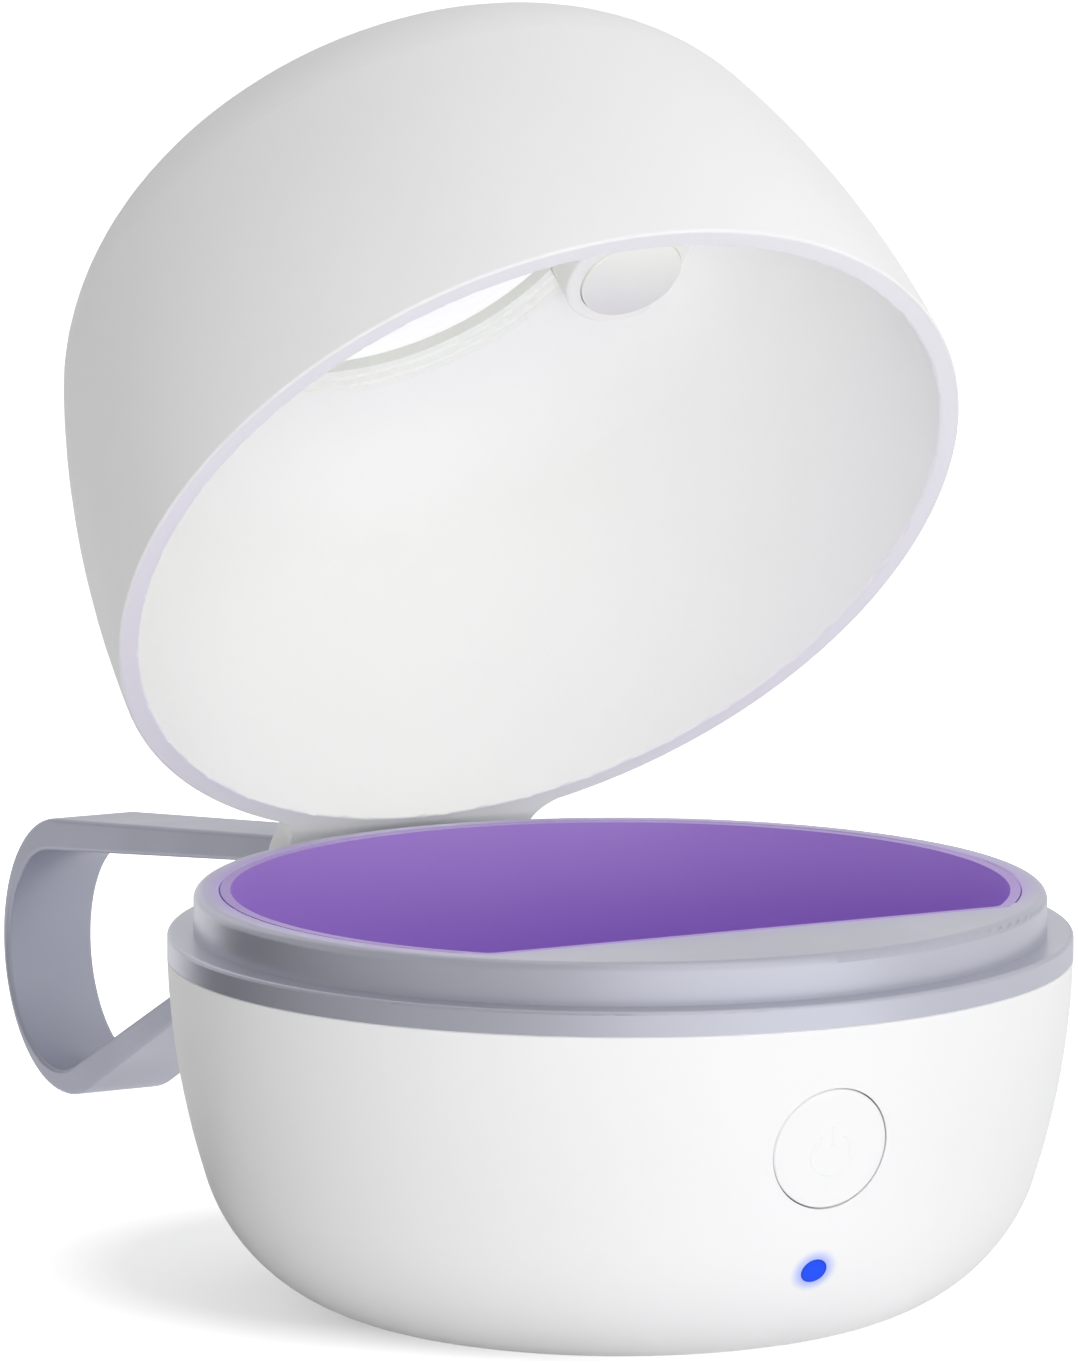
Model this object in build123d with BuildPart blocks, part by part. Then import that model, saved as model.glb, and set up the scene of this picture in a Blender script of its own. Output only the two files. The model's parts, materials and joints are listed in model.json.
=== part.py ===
from build123d import *
from math import asin, cos, degrees, radians, sin, sqrt
import os

# Pacifier sterilizer case: a round bowl with a UV chamber, a hinged dome lid and a carrying loop.
# Millimetres. Origin: centre of the foot on the table, +Z up, push button towards -Y, loop towards +Y.
# The lid stands open in the model, as it does in use; joint value 0 is this open position.

# ---- driving dimensions: bowl ---------------------------------------------------------------------
case_radius = 48.0          # widest circle: the ring's flange and the top of the bowl
wall = 2.3
foot_inset = 1.6            # foot pad inside the edge of the flat underside
foot_proud = 0.4            # how far the foot pad stands out of the bowl's flat underside
foot_depth = 1.3            # depth of the foot pad's recess above the table
foot_edge = 0.3
seam_edge = 0.15            # fine bevel round the bowl's top, seen as a thin seam
bowl_wall_radius = 86.5     # side of the bowl, seen in section
bowl_corner_radius = 20.8   # turn from the side into the flat underside
bowl_start_tilt = 1.7       # degrees, tilt of the side at the top of the bowl
bowl_corner_tilt = 17.4     # degrees, tilt where the side meets the corner

# ---- ring and chamber -----------------------------------------------------------------------------
flange_thick = 2.6
lip_radius = 45.2           # upstanding lip that the lid's rim drops over
lip_height = 4.5
mouth_radius = 42.4         # opening inside the lip
mouth_corner = 2.0          # rounding where the mouth's straight front meets its round side
shelf_front = -29.5         # the mouth's straight front edge; the shelf fills the rest
shelf_thick = 1.8
liner_wall = 1.1
liner_gap = 0.02            # between liner and mouth
liner_taper = 5             # degrees
liner_floor_z = 21.0        # top of the chamber floor
liner_floor_thick = 1.3
liner_top_sink = 0.05       # the liner's edge below the lip

# ---- lid --------------------------------------------------------------------------------------------
lid_radius = 47.9
lid_wall = 2.35
lid_wall_radius = 122.4
lid_corner_radius = 21.4
lid_start_tilt = 1.1        # degrees from upright at the rim
lid_corner_tilt = 18.2      # degrees where side and corner meet
lid_crown_tilt = 62.8       # degrees where corner and crown meet
lid_gap = 0.15              # rim above the flange when shut
open_angle = 49.1           # how far the lid stands open
window_radius = 27.0        # clear crown window
window_thick = 1.4
crown_hole_radius = 26.2
trim_radii = (25.3, 26.3, 27.3, 28.3)   # steps of the trim ring inside the crown
trim_step = 0.45
boss_centre = (29.5, 6.2)   # round boss under the lid's shoulder, in the shut lid
boss_radius = 7.5
boss_height = 42.15         # boss face above the ledge
boss_edge = 0.6             # rounding of the boss's edge
rim_edge = 0.3              # rounding of the lid's rim
plug_radius = 5.85
plug_proud = 0.35           # edge of the domed plug above the boss face
plug_dome_radius = 28.0

# ---- hinge and carrying loop --------------------------------------------------------------------------
hinge_y = 51.9
hinge_above_ledge = 0.25
knuckle_radius = 3.3
lug_half = 5.3              # half width of the base's hinge lug
web_half = 14.6             # half width of the lid's hinge web
web_blend = 5.0             # the web flares into the rim
pin_radius = 1.25
pin_play = 0.03             # running clearance of the pin in the lid's knuckles
washer_thick = 0.5
washer_radius = 2.9
washer_play = 0.1           # each side, between washer and knuckle
strap_half = 5.5            # half width of the carrying loop
strap_edge = 0.5
loop_centre = (129.3, 17.5)
loop_radius = 16.1
loop_hole_centre = (131.3, 16.8)
loop_hole_radius = 12.8
loop_root_centre = (66.1, 36.5)
loop_root_radius = 4.6
loop_apex_centre = (67.6, 35.7)
loop_apex_radius = 2.2

# ---- button, boards and port --------------------------------------------------------------------------
button_radius = 6.5
button_gap = 0.13
button_height = 25.3        # centre of the button above the table
guide_height = 11.9         # centre of the indicator light
guide_radius = 1.45
guide_gap = 0.02
board_z = 10.2              # underside of the main board
board_thick = 1.2
board_radius = 35.5
port_half_width = 4.47      # charging port shell, 8.94 x 3.24 mm outside
port_height = 3.24
port_gap = 0.16
port_depth = 7.3
port_wall = 0.3
boss_screw_r = 29.0         # three bosses that carry the main board
boss_start = 30             # degrees, place of the first boss
post_screw_r = 19.2         # three posts under the liner, screwed from below
post_start = 90
emitter_start = 45
slip = 0.05                 # clearance of a part that slides or drops into its place
screw_play = 0.03           # a screw in its own hole
pass_play = 0.15            # a screw or its head in a hole that it passes through
cross_width = 0.25          # cross recess, in parts of the head's radius
cross_length = 1.1

# ---- derived heights ------------------------------------------------------------------------------------
tilt_a = radians(bowl_start_tilt)
tilt_b = radians(bowl_corner_tilt)
bowl_side_height = bowl_wall_radius * (sin(tilt_b) - sin(tilt_a))
bowl_corner_height = bowl_corner_radius * (1 - sin(tilt_b))
bowl_top_z = foot_proud + bowl_corner_height + bowl_side_height
bowl_floor_z = foot_proud + wall
ledge_z = bowl_top_z + flange_thick
lip_z = ledge_z + lip_height
hinge_z = ledge_z + hinge_above_ledge
corner_axis_r = (case_radius - bowl_wall_radius * (cos(tilt_a) - cos(tilt_b))
                 - bowl_corner_radius * cos(tilt_b))
corner_axis_z = foot_proud + bowl_corner_radius
foot_radius = corner_axis_r - foot_inset
board_top_z = board_z + board_thick
port_centre_z = board_top_z + port_height / 2 + guide_gap

tilt_c = radians(lid_start_tilt)
tilt_d = radians(lid_corner_tilt)
tilt_e = radians(lid_crown_tilt)
crown_start_r = (lid_radius - lid_wall_radius * (cos(tilt_c) - cos(tilt_d))
                 - lid_corner_radius * (cos(tilt_d) - cos(tilt_e)))
lid_crown_radius = crown_start_r / cos(tilt_e)
rim_z = ledge_z + lid_gap
crown_centre_z = (rim_z + lid_wall_radius * (sin(tilt_d) - sin(tilt_c))
                  + (lid_corner_radius - lid_crown_radius) * sin(tilt_e) - lid_corner_radius * sin(tilt_d))


def bowl_radius_at(z):
    """Outside radius of the bowl at a height on its lower corner."""
    return corner_axis_r + sqrt(bowl_corner_radius**2 - (corner_axis_z - z) ** 2)


def crown_height_at(radius, inset):
    """Height of the shut lid's crown, or of a surface inset from it, at a distance from the axis."""
    return crown_centre_z + sqrt((lid_crown_radius - inset) ** 2 - radius**2)


def bowl_section(inset, top):
    """Half section of the bowl: side arc, corner arc and flat bottom, closed along the axis."""
    with BuildSketch(Plane.XZ) as section:
        with BuildLine():
            start = (case_radius - inset * cos(tilt_a), bowl_top_z + inset * sin(tilt_a))
            side = JernArc(start, (-sin(tilt_a), -cos(tilt_a)), bowl_wall_radius - inset,
                           bowl_start_tilt - bowl_corner_tilt)
            corner = JernArc(side @ 1, side % 1, bowl_corner_radius - inset, bowl_corner_tilt - 90)
            Polyline(corner @ 1, (0, (corner @ 1).Y), (0, top), ((side @ 0).X, top), side @ 0)
        make_face()
    return section.sketch


def dome_section(inset, bottom):
    """Half section of the shut lid: side arc, corner arc and crown arc, closed along the axis."""
    with BuildSketch(lid_section) as section:
        with BuildLine():
            start = (lid_radius - inset * cos(tilt_c), rim_z - inset * sin(tilt_c))
            side = JernArc(start, (-sin(tilt_c), cos(tilt_c)), lid_wall_radius - inset,
                           lid_corner_tilt - lid_start_tilt)
            corner = JernArc(side @ 1, side % 1, lid_corner_radius - inset, lid_crown_tilt - lid_corner_tilt)
            crown = JernArc(corner @ 1, corner % 1, lid_crown_radius - inset, 90 - lid_crown_tilt)
            Polyline(crown @ 1, (0, bottom), ((side @ 0).X, bottom), side @ 0)
        make_face()
    return section.sketch


def mouth_outline(plane, radius, front_y, corner):
    """Circle with its front cut off straight and the two corners rounded."""
    with BuildSketch(plane) as outline:
        Circle(radius)
        with Locations((0, front_y - radius)):
            Rectangle(2 * radius, 2 * radius, mode=Mode.SUBTRACT)
        fillet(outline.vertices().group_by(Axis.Y)[0], radius=corner)
    return outline.sketch


def ring_of_circles(plane, count, at_radius, start_angle, radius):
    """Equal circles round the main axis: screws, bosses and their holes."""
    with BuildSketch(plane) as circles:
        with PolarLocations(at_radius, count, start_angle=start_angle):
            Circle(radius)
    return circles.sketch


def at_bosses(z, radius):
    """Circles on the three bosses that carry the main board."""
    return ring_of_circles(Plane.XY.offset(z), 3, boss_screw_r, boss_start, radius)


def at_posts(z, radius):
    """Circles on the three posts that hold bowl and liner together."""
    return ring_of_circles(Plane.XY.offset(z), 3, post_screw_r, post_start, radius)


def cross_slots(plane, count, at_radius, start_angle, head_radius):
    """Cross recesses for the heads of screws that stand round the main axis."""
    length, width = cross_length * head_radius, cross_width * head_radius
    with BuildSketch(plane) as slots:
        with PolarLocations(at_radius, count, start_angle=start_angle):
            Rectangle(length, width)
            Rectangle(width, length)
    return slots.sketch


# ---- planes ---------------------------------------------------------------------------------------------
swing = Pos(0, hinge_y, hinge_z) * Rot(-open_angle, 0, 0) * Pos(0, -hinge_y, -hinge_z)
lid_floor = Plane(swing)                                    # the shut lid's XY plane, swung open
lid_section = Plane(swing * Plane.XZ.location)              # its XZ plane
lid_side = Plane(swing * Plane.YZ.location)                 # its YZ plane
lid_axis = Axis(lid_floor.origin, lid_floor.z_dir)

button_tilt = asin(sin(tilt_a) + (bowl_top_z - button_height) / bowl_wall_radius)
button_wall_r = case_radius - bowl_wall_radius * (cos(tilt_a) - cos(button_tilt))
button_face = Plane(origin=(0, -button_wall_r, button_height), x_dir=(1, 0, 0),
                    z_dir=(0, -cos(button_tilt), -sin(button_tilt)))

guide_drop = asin((corner_axis_z - guide_height) / bowl_corner_radius)
guide_face = Plane(origin=(0, -bowl_radius_at(guide_height), guide_height), x_dir=(1, 0, 0),
                   z_dir=(0, -cos(guide_drop), -sin(guide_drop)))
skin_clear = 2              # cutters for skin holes start this far outside

os.makedirs("parts", exist_ok=True)

# ---- bowl shell -----------------------------------------------------------------------------------------
# Depths of what stands behind the button, measured inwards from the bowl's skin
front_board_depth = 9.8
front_board_half = 13.0
front_board_low = -13.6     # lower and upper edge of the front board, from the button's centre
front_board_high = 9.0
rail_width = 3.4
rail_height = 16
rail_lap = 1.4              # rail behind the board
rail_depth = 14
screw_boss_radius = 2.9
post_collar = 0.8           # bowl material round each of the liner's posts
board_screw_radius = 1.0
board_screw_length = 5.5
post_radius = 3.0
post_base_z = 5.3           # foot of the liner's posts
case_screw_radius = 1.25
case_head_radius = 2.3
case_head_z = 3.2           # underside of the screw heads' seat

# Its hollow is made first, with the bosses and the board rails left standing in it.
with BuildPart() as bowl_hollow:
    add(bowl_section(wall, bowl_top_z + 1))
    revolve(axis=Axis.Z)
    add(at_bosses(0, screw_boss_radius))
    extrude(amount=board_z, mode=Mode.SUBTRACT)
    add(at_posts(0, post_radius + post_collar))
    extrude(amount=post_base_z - 2 * slip, mode=Mode.SUBTRACT)
    with BuildSketch(button_face.offset(-front_board_depth - board_thick - rail_lap)):
        with GridLocations(2 * front_board_half + 8 * slip, 0, 2, 1):
            Rectangle(rail_width, rail_height, align=(Align.CENTER, Align.MIN))
    extrude(amount=rail_depth, mode=Mode.SUBTRACT)
    with BuildSketch(button_face.offset(-front_board_depth - board_thick - slip)):
        with Locations((0, front_board_low)):
            Rectangle(2 * front_board_half + 4 * slip, case_radius, align=(Align.CENTER, Align.MIN))
    extrude(amount=board_thick + 2 * slip)

with BuildPart() as base_shell:
    add(bowl_section(0, bowl_top_z))
    revolve(axis=Axis.Z)
    chamfer(base_shell.edges().filter_by(GeomType.CIRCLE).group_by(Axis.Z)[-1], length=seam_edge)
    add(bowl_hollow.part, mode=Mode.SUBTRACT)
    # push button hole, indicator hole and charging slot
    with BuildSketch(button_face.offset(skin_clear)):
        Circle(button_radius + button_gap)
    extrude(amount=-3 * wall, mode=Mode.SUBTRACT)
    with BuildSketch(guide_face.offset(skin_clear)):
        Circle(guide_radius + guide_gap)
    extrude(amount=-3 * wall, mode=Mode.SUBTRACT)
    with BuildSketch(Plane.XZ.offset(-board_radius)):
        with Locations((0, port_centre_z)):
            SlotOverall(2 * (port_half_width + port_gap), port_height + 2 * port_gap)
    extrude(amount=-case_radius / 2, mode=Mode.SUBTRACT)
    # recess for the foot pad, then the screw holes
    with BuildSketch(Plane.XY):
        Circle(foot_radius + 2 * slip)
    extrude(amount=foot_depth, mode=Mode.SUBTRACT)
    add(at_bosses(board_z, board_screw_radius + screw_play))
    extrude(amount=-board_screw_length, mode=Mode.SUBTRACT)
    add(at_posts(0, case_screw_radius + pass_play))
    extrude(amount=post_base_z + post_collar, mode=Mode.SUBTRACT)
    add(at_posts(0, case_head_radius + pass_play))
    extrude(amount=case_head_z, mode=Mode.SUBTRACT)
base_shell.part.label = "base_shell"
export_step(base_shell.part, "parts/base_shell.step")

# ---- ring: flange, lip, front shelf, hinge lug and loop socket, one moulding ----------------------------
lug_root = 46.6             # the lug starts inside the flange
lug_front = 48.4            # below the flange the lug stands just clear of the bowl
lug_front_low = 36.6
lug_back = 57.0
lug_back_low = 34.5
lug_shoulder = 1.2          # top of the lug's back above the hinge axis
socket_front = 56.0
socket_back = 64.3
socket_half = 9.0
socket_wall = 1.45          # above and below the loop's root
socket_floor = 58.4
tongue_half = 4.25          # half height of the loop's root inside the socket
cross_pin_y = 61.4
cross_pin_radius = 1.0
magnet_size = (8.0, 1.2, 4.0)
catch_y = -43.8
catch_top = 44.0
lip_edge = 1.0              # roundings of the lip outside and inside, and of the flange
mouth_edge_radius = 0.35
flange_edge_radius = 0.4
socket_corner = 1.2
socket_edge = 0.5
push_fit = 0.1              # loop's root in its socket
magnet_play = 0.05
shelf_embed = 0.6           # shelf inside the lip
shelf_sink = 0.02           # shelf just below the lip
close = 0.01                # tells edges by their place or size

with BuildPart() as base_ring:
    with BuildSketch(Plane.XZ):
        with BuildLine():
            Polyline((mouth_radius, bowl_top_z), (case_radius, bowl_top_z), (case_radius, ledge_z),
                     (lip_radius, ledge_z), (lip_radius, lip_z), (mouth_radius, lip_z),
                     (mouth_radius, bowl_top_z))
        make_face()
    revolve(axis=Axis.Z)
    # rounded edges: inside and outside of the lip, then the flange
    lip_edges = base_ring.edges().filter_by(GeomType.CIRCLE).group_by(Axis.Z)[-1].sort_by(SortBy.RADIUS)
    fillet(lip_edges[-1], radius=lip_edge)
    lip_edges = base_ring.edges().filter_by(GeomType.CIRCLE).group_by(Axis.Z)[-1].sort_by(SortBy.RADIUS)
    fillet(lip_edges[0], radius=mouth_edge_radius)
    flange_edge = base_ring.edges().filter_by(GeomType.CIRCLE).filter_by(
        lambda edge: edge.radius > case_radius - close and edge.center().Z > bowl_top_z + 1)
    fillet(flange_edge, radius=flange_edge_radius)
    # front shelf, level with the lip
    with BuildSketch(Plane.XY.offset(lip_z - shelf_thick)):
        Circle(mouth_radius + shelf_embed)
        with Locations((0, shelf_front + mouth_corner)):
            Rectangle(2 * case_radius, 2 * case_radius, align=(Align.CENTER, Align.MIN), mode=Mode.SUBTRACT)
        add(mouth_outline(Plane.XY, mouth_radius, shelf_front, mouth_corner), mode=Mode.SUBTRACT)
    extrude(amount=shelf_thick - shelf_sink)
    # hinge lug, then the block for the loop's socket
    with BuildSketch(Plane.YZ.offset(-lug_half)):
        with Locations((hinge_y, hinge_z)):
            Circle(knuckle_radius)
        Polygon((lug_root, bowl_top_z), (lug_root, ledge_z), (hinge_y, ledge_z),
                (hinge_y, hinge_z + knuckle_radius), (lug_back, hinge_z + lug_shoulder),
                (lug_back, lug_back_low), (lug_front, lug_front_low), (lug_front, bowl_top_z), align=None)
    extrude(amount=2 * lug_half)
    with BuildSketch(Plane.YZ.offset(-socket_half)):
        with Locations(((socket_front + socket_back) / 2, loop_root_centre[1])):
            RectangleRounded(socket_back - socket_front, 2 * (tongue_half + socket_wall), socket_corner)
    extrude(amount=2 * socket_half)
    socket_edges = base_ring.edges().filter_by(
        lambda edge: abs(abs(edge.center().X) - socket_half) < close and edge.center().Y > socket_front)
    fillet(socket_edges, radius=socket_edge)
    with BuildSketch(Plane.XZ.offset(-socket_floor)):
        with Locations((0, loop_root_centre[1])):
            Rectangle(2 * (strap_half + push_fit), 2 * (tongue_half + push_fit))
    extrude(amount=-socket_half, mode=Mode.SUBTRACT)
    # holes for the loop's cross pin and the hinge pin
    with BuildSketch(Plane.YZ.offset(-2 * socket_half)):
        with Locations((cross_pin_y, loop_root_centre[1])):
            Circle(cross_pin_radius)
        with Locations((hinge_y, hinge_z)):
            Circle(pin_radius)
    extrude(amount=4 * socket_half, mode=Mode.SUBTRACT)
    # pocket for the catch magnet, open below
    with BuildSketch(Plane.XY.offset(bowl_top_z)):
        with Locations((0, catch_y)):
            Rectangle(magnet_size[0] + 2 * magnet_play, magnet_size[1] + 2 * magnet_play)
    extrude(amount=catch_top - bowl_top_z, mode=Mode.SUBTRACT)
base_ring.part.label = "base_ring"
export_step(base_ring.part, "parts/base_ring.step")

with BuildPart() as catch_magnet:
    with BuildSketch(Plane.XY.offset(catch_top)):
        with Locations((0, catch_y)):
            Rectangle(magnet_size[0], magnet_size[1])
    extrude(amount=-magnet_size[2])
catch_magnet.part.label = "catch_magnet"
export_step(catch_magnet.part, "parts/catch_magnet.step")

# ---- chamber liner: D-shaped cup that drops through the mouth -------------------------------------------
liner_top = lip_z - liner_top_sink
liner_under = liner_floor_z - liner_floor_thick
liner_flange_thick = 1.4
liner_flange_in = 2         # flange's inner edge inside the mouth
liner_flange_back = 3       # the flange stops short of the straight front
liner_floor_round = 5       # inside; one wall more outside
seat_embed = 0.5            # seat and posts reach into the floor
seat_base_z = 15.8          # underside of the lamp seat
seat_radius = 12.0
seat_bore = 8.1             # holds window and seal
light_hole = 6.6
lamp_screw_r = 10.2
lamp_screw_radius = 0.8
lamp_screw_hole = 3.3       # depth of its hole, and of the hole for a case screw
case_screw_hole = 7.5

with BuildPart() as liner_hollow:
    add(mouth_outline(Plane.XY.offset(liner_top), mouth_radius - liner_gap - liner_wall,
                      shelf_front + liner_gap + liner_wall, mouth_corner))
    extrude(amount=-(liner_top - liner_floor_z), taper=liner_taper)
    fillet(liner_hollow.edges().group_by(Axis.Z)[0], radius=liner_floor_round)

with BuildPart() as chamber_liner:
    add(mouth_outline(Plane.XY.offset(liner_top), mouth_radius - liner_gap, shelf_front + liner_gap,
                      mouth_corner + liner_wall))
    extrude(amount=-(liner_top - liner_under), taper=liner_taper)
    fillet(chamber_liner.edges().group_by(Axis.Z)[0], radius=liner_floor_round + 1)
    # flange, welded to the ring's underside
    with BuildSketch(Plane.XY.offset(bowl_top_z)):
        add(mouth_outline(Plane.XY, lip_radius, shelf_front + liner_flange_back, mouth_corner))
        Circle(mouth_radius - liner_flange_in, mode=Mode.SUBTRACT)
    extrude(amount=-liner_flange_thick)
    # seat for window and lamp board, and three screw posts
    with BuildSketch(Plane.XY.offset(seat_base_z)):
        Circle(seat_radius)
    extrude(amount=liner_floor_z - seat_embed - seat_base_z)
    add(at_posts(post_base_z, post_radius))
    extrude(amount=liner_floor_z - seat_embed - post_base_z)
    add(liner_hollow.part, mode=Mode.SUBTRACT)
    # light hole, bore for window and seal, screw holes
    with BuildSketch(Plane.XY.offset(seat_base_z)):
        Circle(light_hole)
    extrude(amount=2 * liner_floor_thick + liner_floor_z - seat_base_z, mode=Mode.SUBTRACT)
    with BuildSketch(Plane.XY.offset(seat_base_z)):
        Circle(seat_bore)
    extrude(amount=liner_under - seat_base_z, mode=Mode.SUBTRACT)
    add(ring_of_circles(Plane.XY.offset(seat_base_z), 2, lamp_screw_r, 0, lamp_screw_radius + screw_play))
    extrude(amount=lamp_screw_hole, mode=Mode.SUBTRACT)
    add(at_posts(post_base_z, case_screw_radius + screw_play))
    extrude(amount=case_screw_hole, mode=Mode.SUBTRACT)
chamber_liner.part.label = "chamber_liner"
export_step(chamber_liner.part, "parts/chamber_liner.step")

# ---- lamp: seal, quartz window, round board, four UV emitters, screws and header ------------------------
seal_thick = 0.5
seal_play = 0.1
quartz_thick = 1.5
quartz_bevel = 0.2
emitter_width = 3.0
emitter_height = 0.9
emitter_r = 3.8
lens_radius = 1.2
lens_height = 0.5
lens_taper = 20             # degrees
lamp_screw_length = 4.2
lamp_head_radius = 1.5
lamp_head_height = 0.9
header_size = (7.6, 2.5)
header_corner = 0.4
header_y = -6

with BuildPart() as window_seal:
    with BuildSketch(Plane.XY.offset(liner_under)):
        Circle(seat_bore - seal_play)
        Circle(light_hole + seal_play, mode=Mode.SUBTRACT)
    extrude(amount=-seal_thick)
window_seal.part.label = "window_seal"
export_step(window_seal.part, "parts/window_seal.step")

with BuildPart() as lamp_window:
    with BuildSketch(Plane.XY.offset(liner_under - seal_thick)):
        Circle(seat_bore - seal_play)
    extrude(amount=-quartz_thick)
    chamfer(lamp_window.edges().filter_by(GeomType.CIRCLE), length=quartz_bevel)
lamp_window.part.label = "lamp_window"
export_step(lamp_window.part, "parts/lamp_window.step")

with BuildPart() as lamp_board:
    with BuildSketch(Plane.XY.offset(seat_base_z)):
        Circle(seat_radius)
    extrude(amount=-board_thick)
    add(ring_of_circles(Plane.XY.offset(seat_base_z), 2, lamp_screw_r, 0, lamp_screw_radius + pass_play))
    extrude(amount=-board_thick, mode=Mode.SUBTRACT)
lamp_board.part.label = "lamp_board"
export_step(lamp_board.part, "parts/lamp_board.step")

with BuildPart() as uv_emitters:
    with BuildSketch(Plane.XY.offset(seat_base_z)):
        with PolarLocations(emitter_r, 4, start_angle=emitter_start):
            Rectangle(emitter_width, emitter_width)
    extrude(amount=emitter_height)
    lens_base = Plane.XY.offset(seat_base_z + emitter_height)
    add(ring_of_circles(lens_base, 4, emitter_r, emitter_start, lens_radius))
    extrude(amount=lens_height, taper=lens_taper)
uv_emitters.part.label = "uv_emitters"
export_step(uv_emitters.part, "parts/uv_emitters.step")

with BuildPart() as lamp_screws:
    lamp_head = Plane.XY.offset(seat_base_z - board_thick)
    add(ring_of_circles(lamp_head, 2, lamp_screw_r, 0, lamp_screw_radius))
    extrude(amount=lamp_screw_length)
    add(ring_of_circles(lamp_head, 2, lamp_screw_r, 0, lamp_head_radius))
    extrude(amount=-lamp_head_height)
    add(cross_slots(lamp_head.offset(-lamp_head_height), 2, lamp_screw_r, 0, lamp_head_radius))
    extrude(amount=lamp_head_height / 2, mode=Mode.SUBTRACT)
lamp_screws.part.label = "lamp_screws"
export_step(lamp_screws.part, "parts/lamp_screws.step")

with BuildPart() as lamp_header:
    with BuildSketch(Plane.XY.offset(board_top_z)):
        with Locations((0, header_y)):
            RectangleRounded(header_size[0], header_size[1], header_corner)
    extrude(amount=seat_base_z - board_thick - board_top_z)
lamp_header.part.label = "lamp_header"
export_step(lamp_header.part, "parts/lamp_header.step")

# ---- main board on three bosses, its parts and screws, and the charging port at the back ----------------
board_notch = 4.5           # cut away in front, behind the front board
board_tab = (16, 8)         # carries the port, at the back
port_sink = 0.9             # port's mouth inside the bowl's skin
port_mouth_y = bowl_radius_at(port_centre_z) - port_sink
port_back_y = port_mouth_y - port_depth

with BuildPart() as main_board:
    with BuildSketch(Plane.XY.offset(board_z)):
        Circle(board_radius)
        with Locations((0, board_radius + 2 - board_tab[1] / 2)):
            Rectangle(board_tab[0], board_tab[1])
        with Locations((0, -board_radius)):
            Rectangle(2 * front_board_half + 8, 2 * board_notch, mode=Mode.SUBTRACT)
    extrude(amount=board_thick)
    add(at_bosses(board_z, board_screw_radius + pass_play))
    extrude(amount=board_thick, mode=Mode.SUBTRACT)
    add(at_posts(board_z, post_radius + post_collar / 2))
    extrude(amount=board_thick, mode=Mode.SUBTRACT)
main_board.part.label = "main_board"
export_step(main_board.part, "parts/main_board.step")

chip_places = [(-27, -3), (27, -3)]
chip_width = 6
inductor_places = [(-12, 26), (12, 26)]
inductor_width = 5
inductor_corner = 1.2
capacitor_places = [(-28, 6), (-28, 9), (28, 6), (28, 9)]
capacitor_size = (2.0, 1.25)
board_part_height = 1.3

with BuildPart() as board_parts:
    with BuildSketch(Plane.XY.offset(board_top_z)):
        with Locations(*chip_places):
            Rectangle(chip_width, chip_width)
        with Locations(*inductor_places):
            RectangleRounded(inductor_width, inductor_width, inductor_corner)
        with Locations(*capacitor_places):
            Rectangle(capacitor_size[0], capacitor_size[1])
    extrude(amount=board_part_height)
board_parts.part.label = "board_parts"
export_step(board_parts.part, "parts/board_parts.step")

board_head_radius = 1.9
board_head_height = 1.2
with BuildPart() as board_screws:
    add(at_bosses(board_top_z, board_screw_radius))
    extrude(amount=-board_screw_length - board_thick / 2)
    add(at_bosses(board_top_z, board_head_radius))
    extrude(amount=board_head_height)
    board_head = Plane.XY.offset(board_top_z + board_head_height)
    add(cross_slots(board_head, 3, boss_screw_r, boss_start, board_head_radius))
    extrude(amount=-board_head_height / 2, mode=Mode.SUBTRACT)
board_screws.part.label = "board_screws"
export_step(board_screws.part, "parts/board_screws.step")

with BuildPart() as charging_port:
    with BuildSketch(Plane.XZ.offset(-port_mouth_y)):
        with Locations((0, port_centre_z)):
            SlotOverall(2 * port_half_width, port_height)
            SlotOverall(2 * (port_half_width - port_wall), port_height - 2 * port_wall, mode=Mode.SUBTRACT)
    extrude(amount=port_depth)
    with BuildSketch(Plane.XZ.offset(-port_back_y)):
        with Locations((0, port_centre_z)):
            SlotOverall(2 * port_half_width, port_height)
    extrude(amount=-2 * port_wall)
charging_port.part.label = "charging_port"
export_step(charging_port.part, "parts/charging_port.step")

tongue_size = (6.7, 5.2, 0.7)
with BuildPart() as port_tongue:
    with BuildSketch(Plane.XZ.offset(-port_back_y - 2 * port_wall)):
        with Locations((0, port_centre_z)):
            Rectangle(tongue_size[0], tongue_size[2])
    extrude(amount=-tongue_size[1])
port_tongue.part.label = "port_tongue"
export_step(port_tongue.part, "parts/port_tongue.step")

# ---- battery under the board, on an adhesive pad, with two leads up to the board ------------------------
pad_thick = 0.4
pad_inset = 3.0
cell_size = (25.0, 20.0, 6.0)
cell_corner = 1.6
cell_edge = 0.8
lead_radius = 0.55
lead_bend = 1.9
lead_half_gap = 1.6
lead_z = 6.2
lead_reach = 5.0

with BuildPart() as battery_pad:
    with BuildSketch(Plane.XY.offset(bowl_floor_z)):
        RectangleRounded(cell_size[0] - pad_inset, cell_size[1] - pad_inset, 1)
    extrude(amount=pad_thick)
battery_pad.part.label = "battery_pad"
export_step(battery_pad.part, "parts/battery_pad.step")

with BuildPart() as battery_cell:
    with BuildSketch(Plane.XY.offset(bowl_floor_z + pad_thick)):
        RectangleRounded(cell_size[0], cell_size[1], cell_corner)
    extrude(amount=cell_size[2])
    fillet(battery_cell.edges().filter_by(Axis.Z, reverse=True), radius=cell_edge)
battery_cell.part.label = "battery_cell"
export_step(battery_cell.part, "parts/battery_cell.step")

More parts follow.
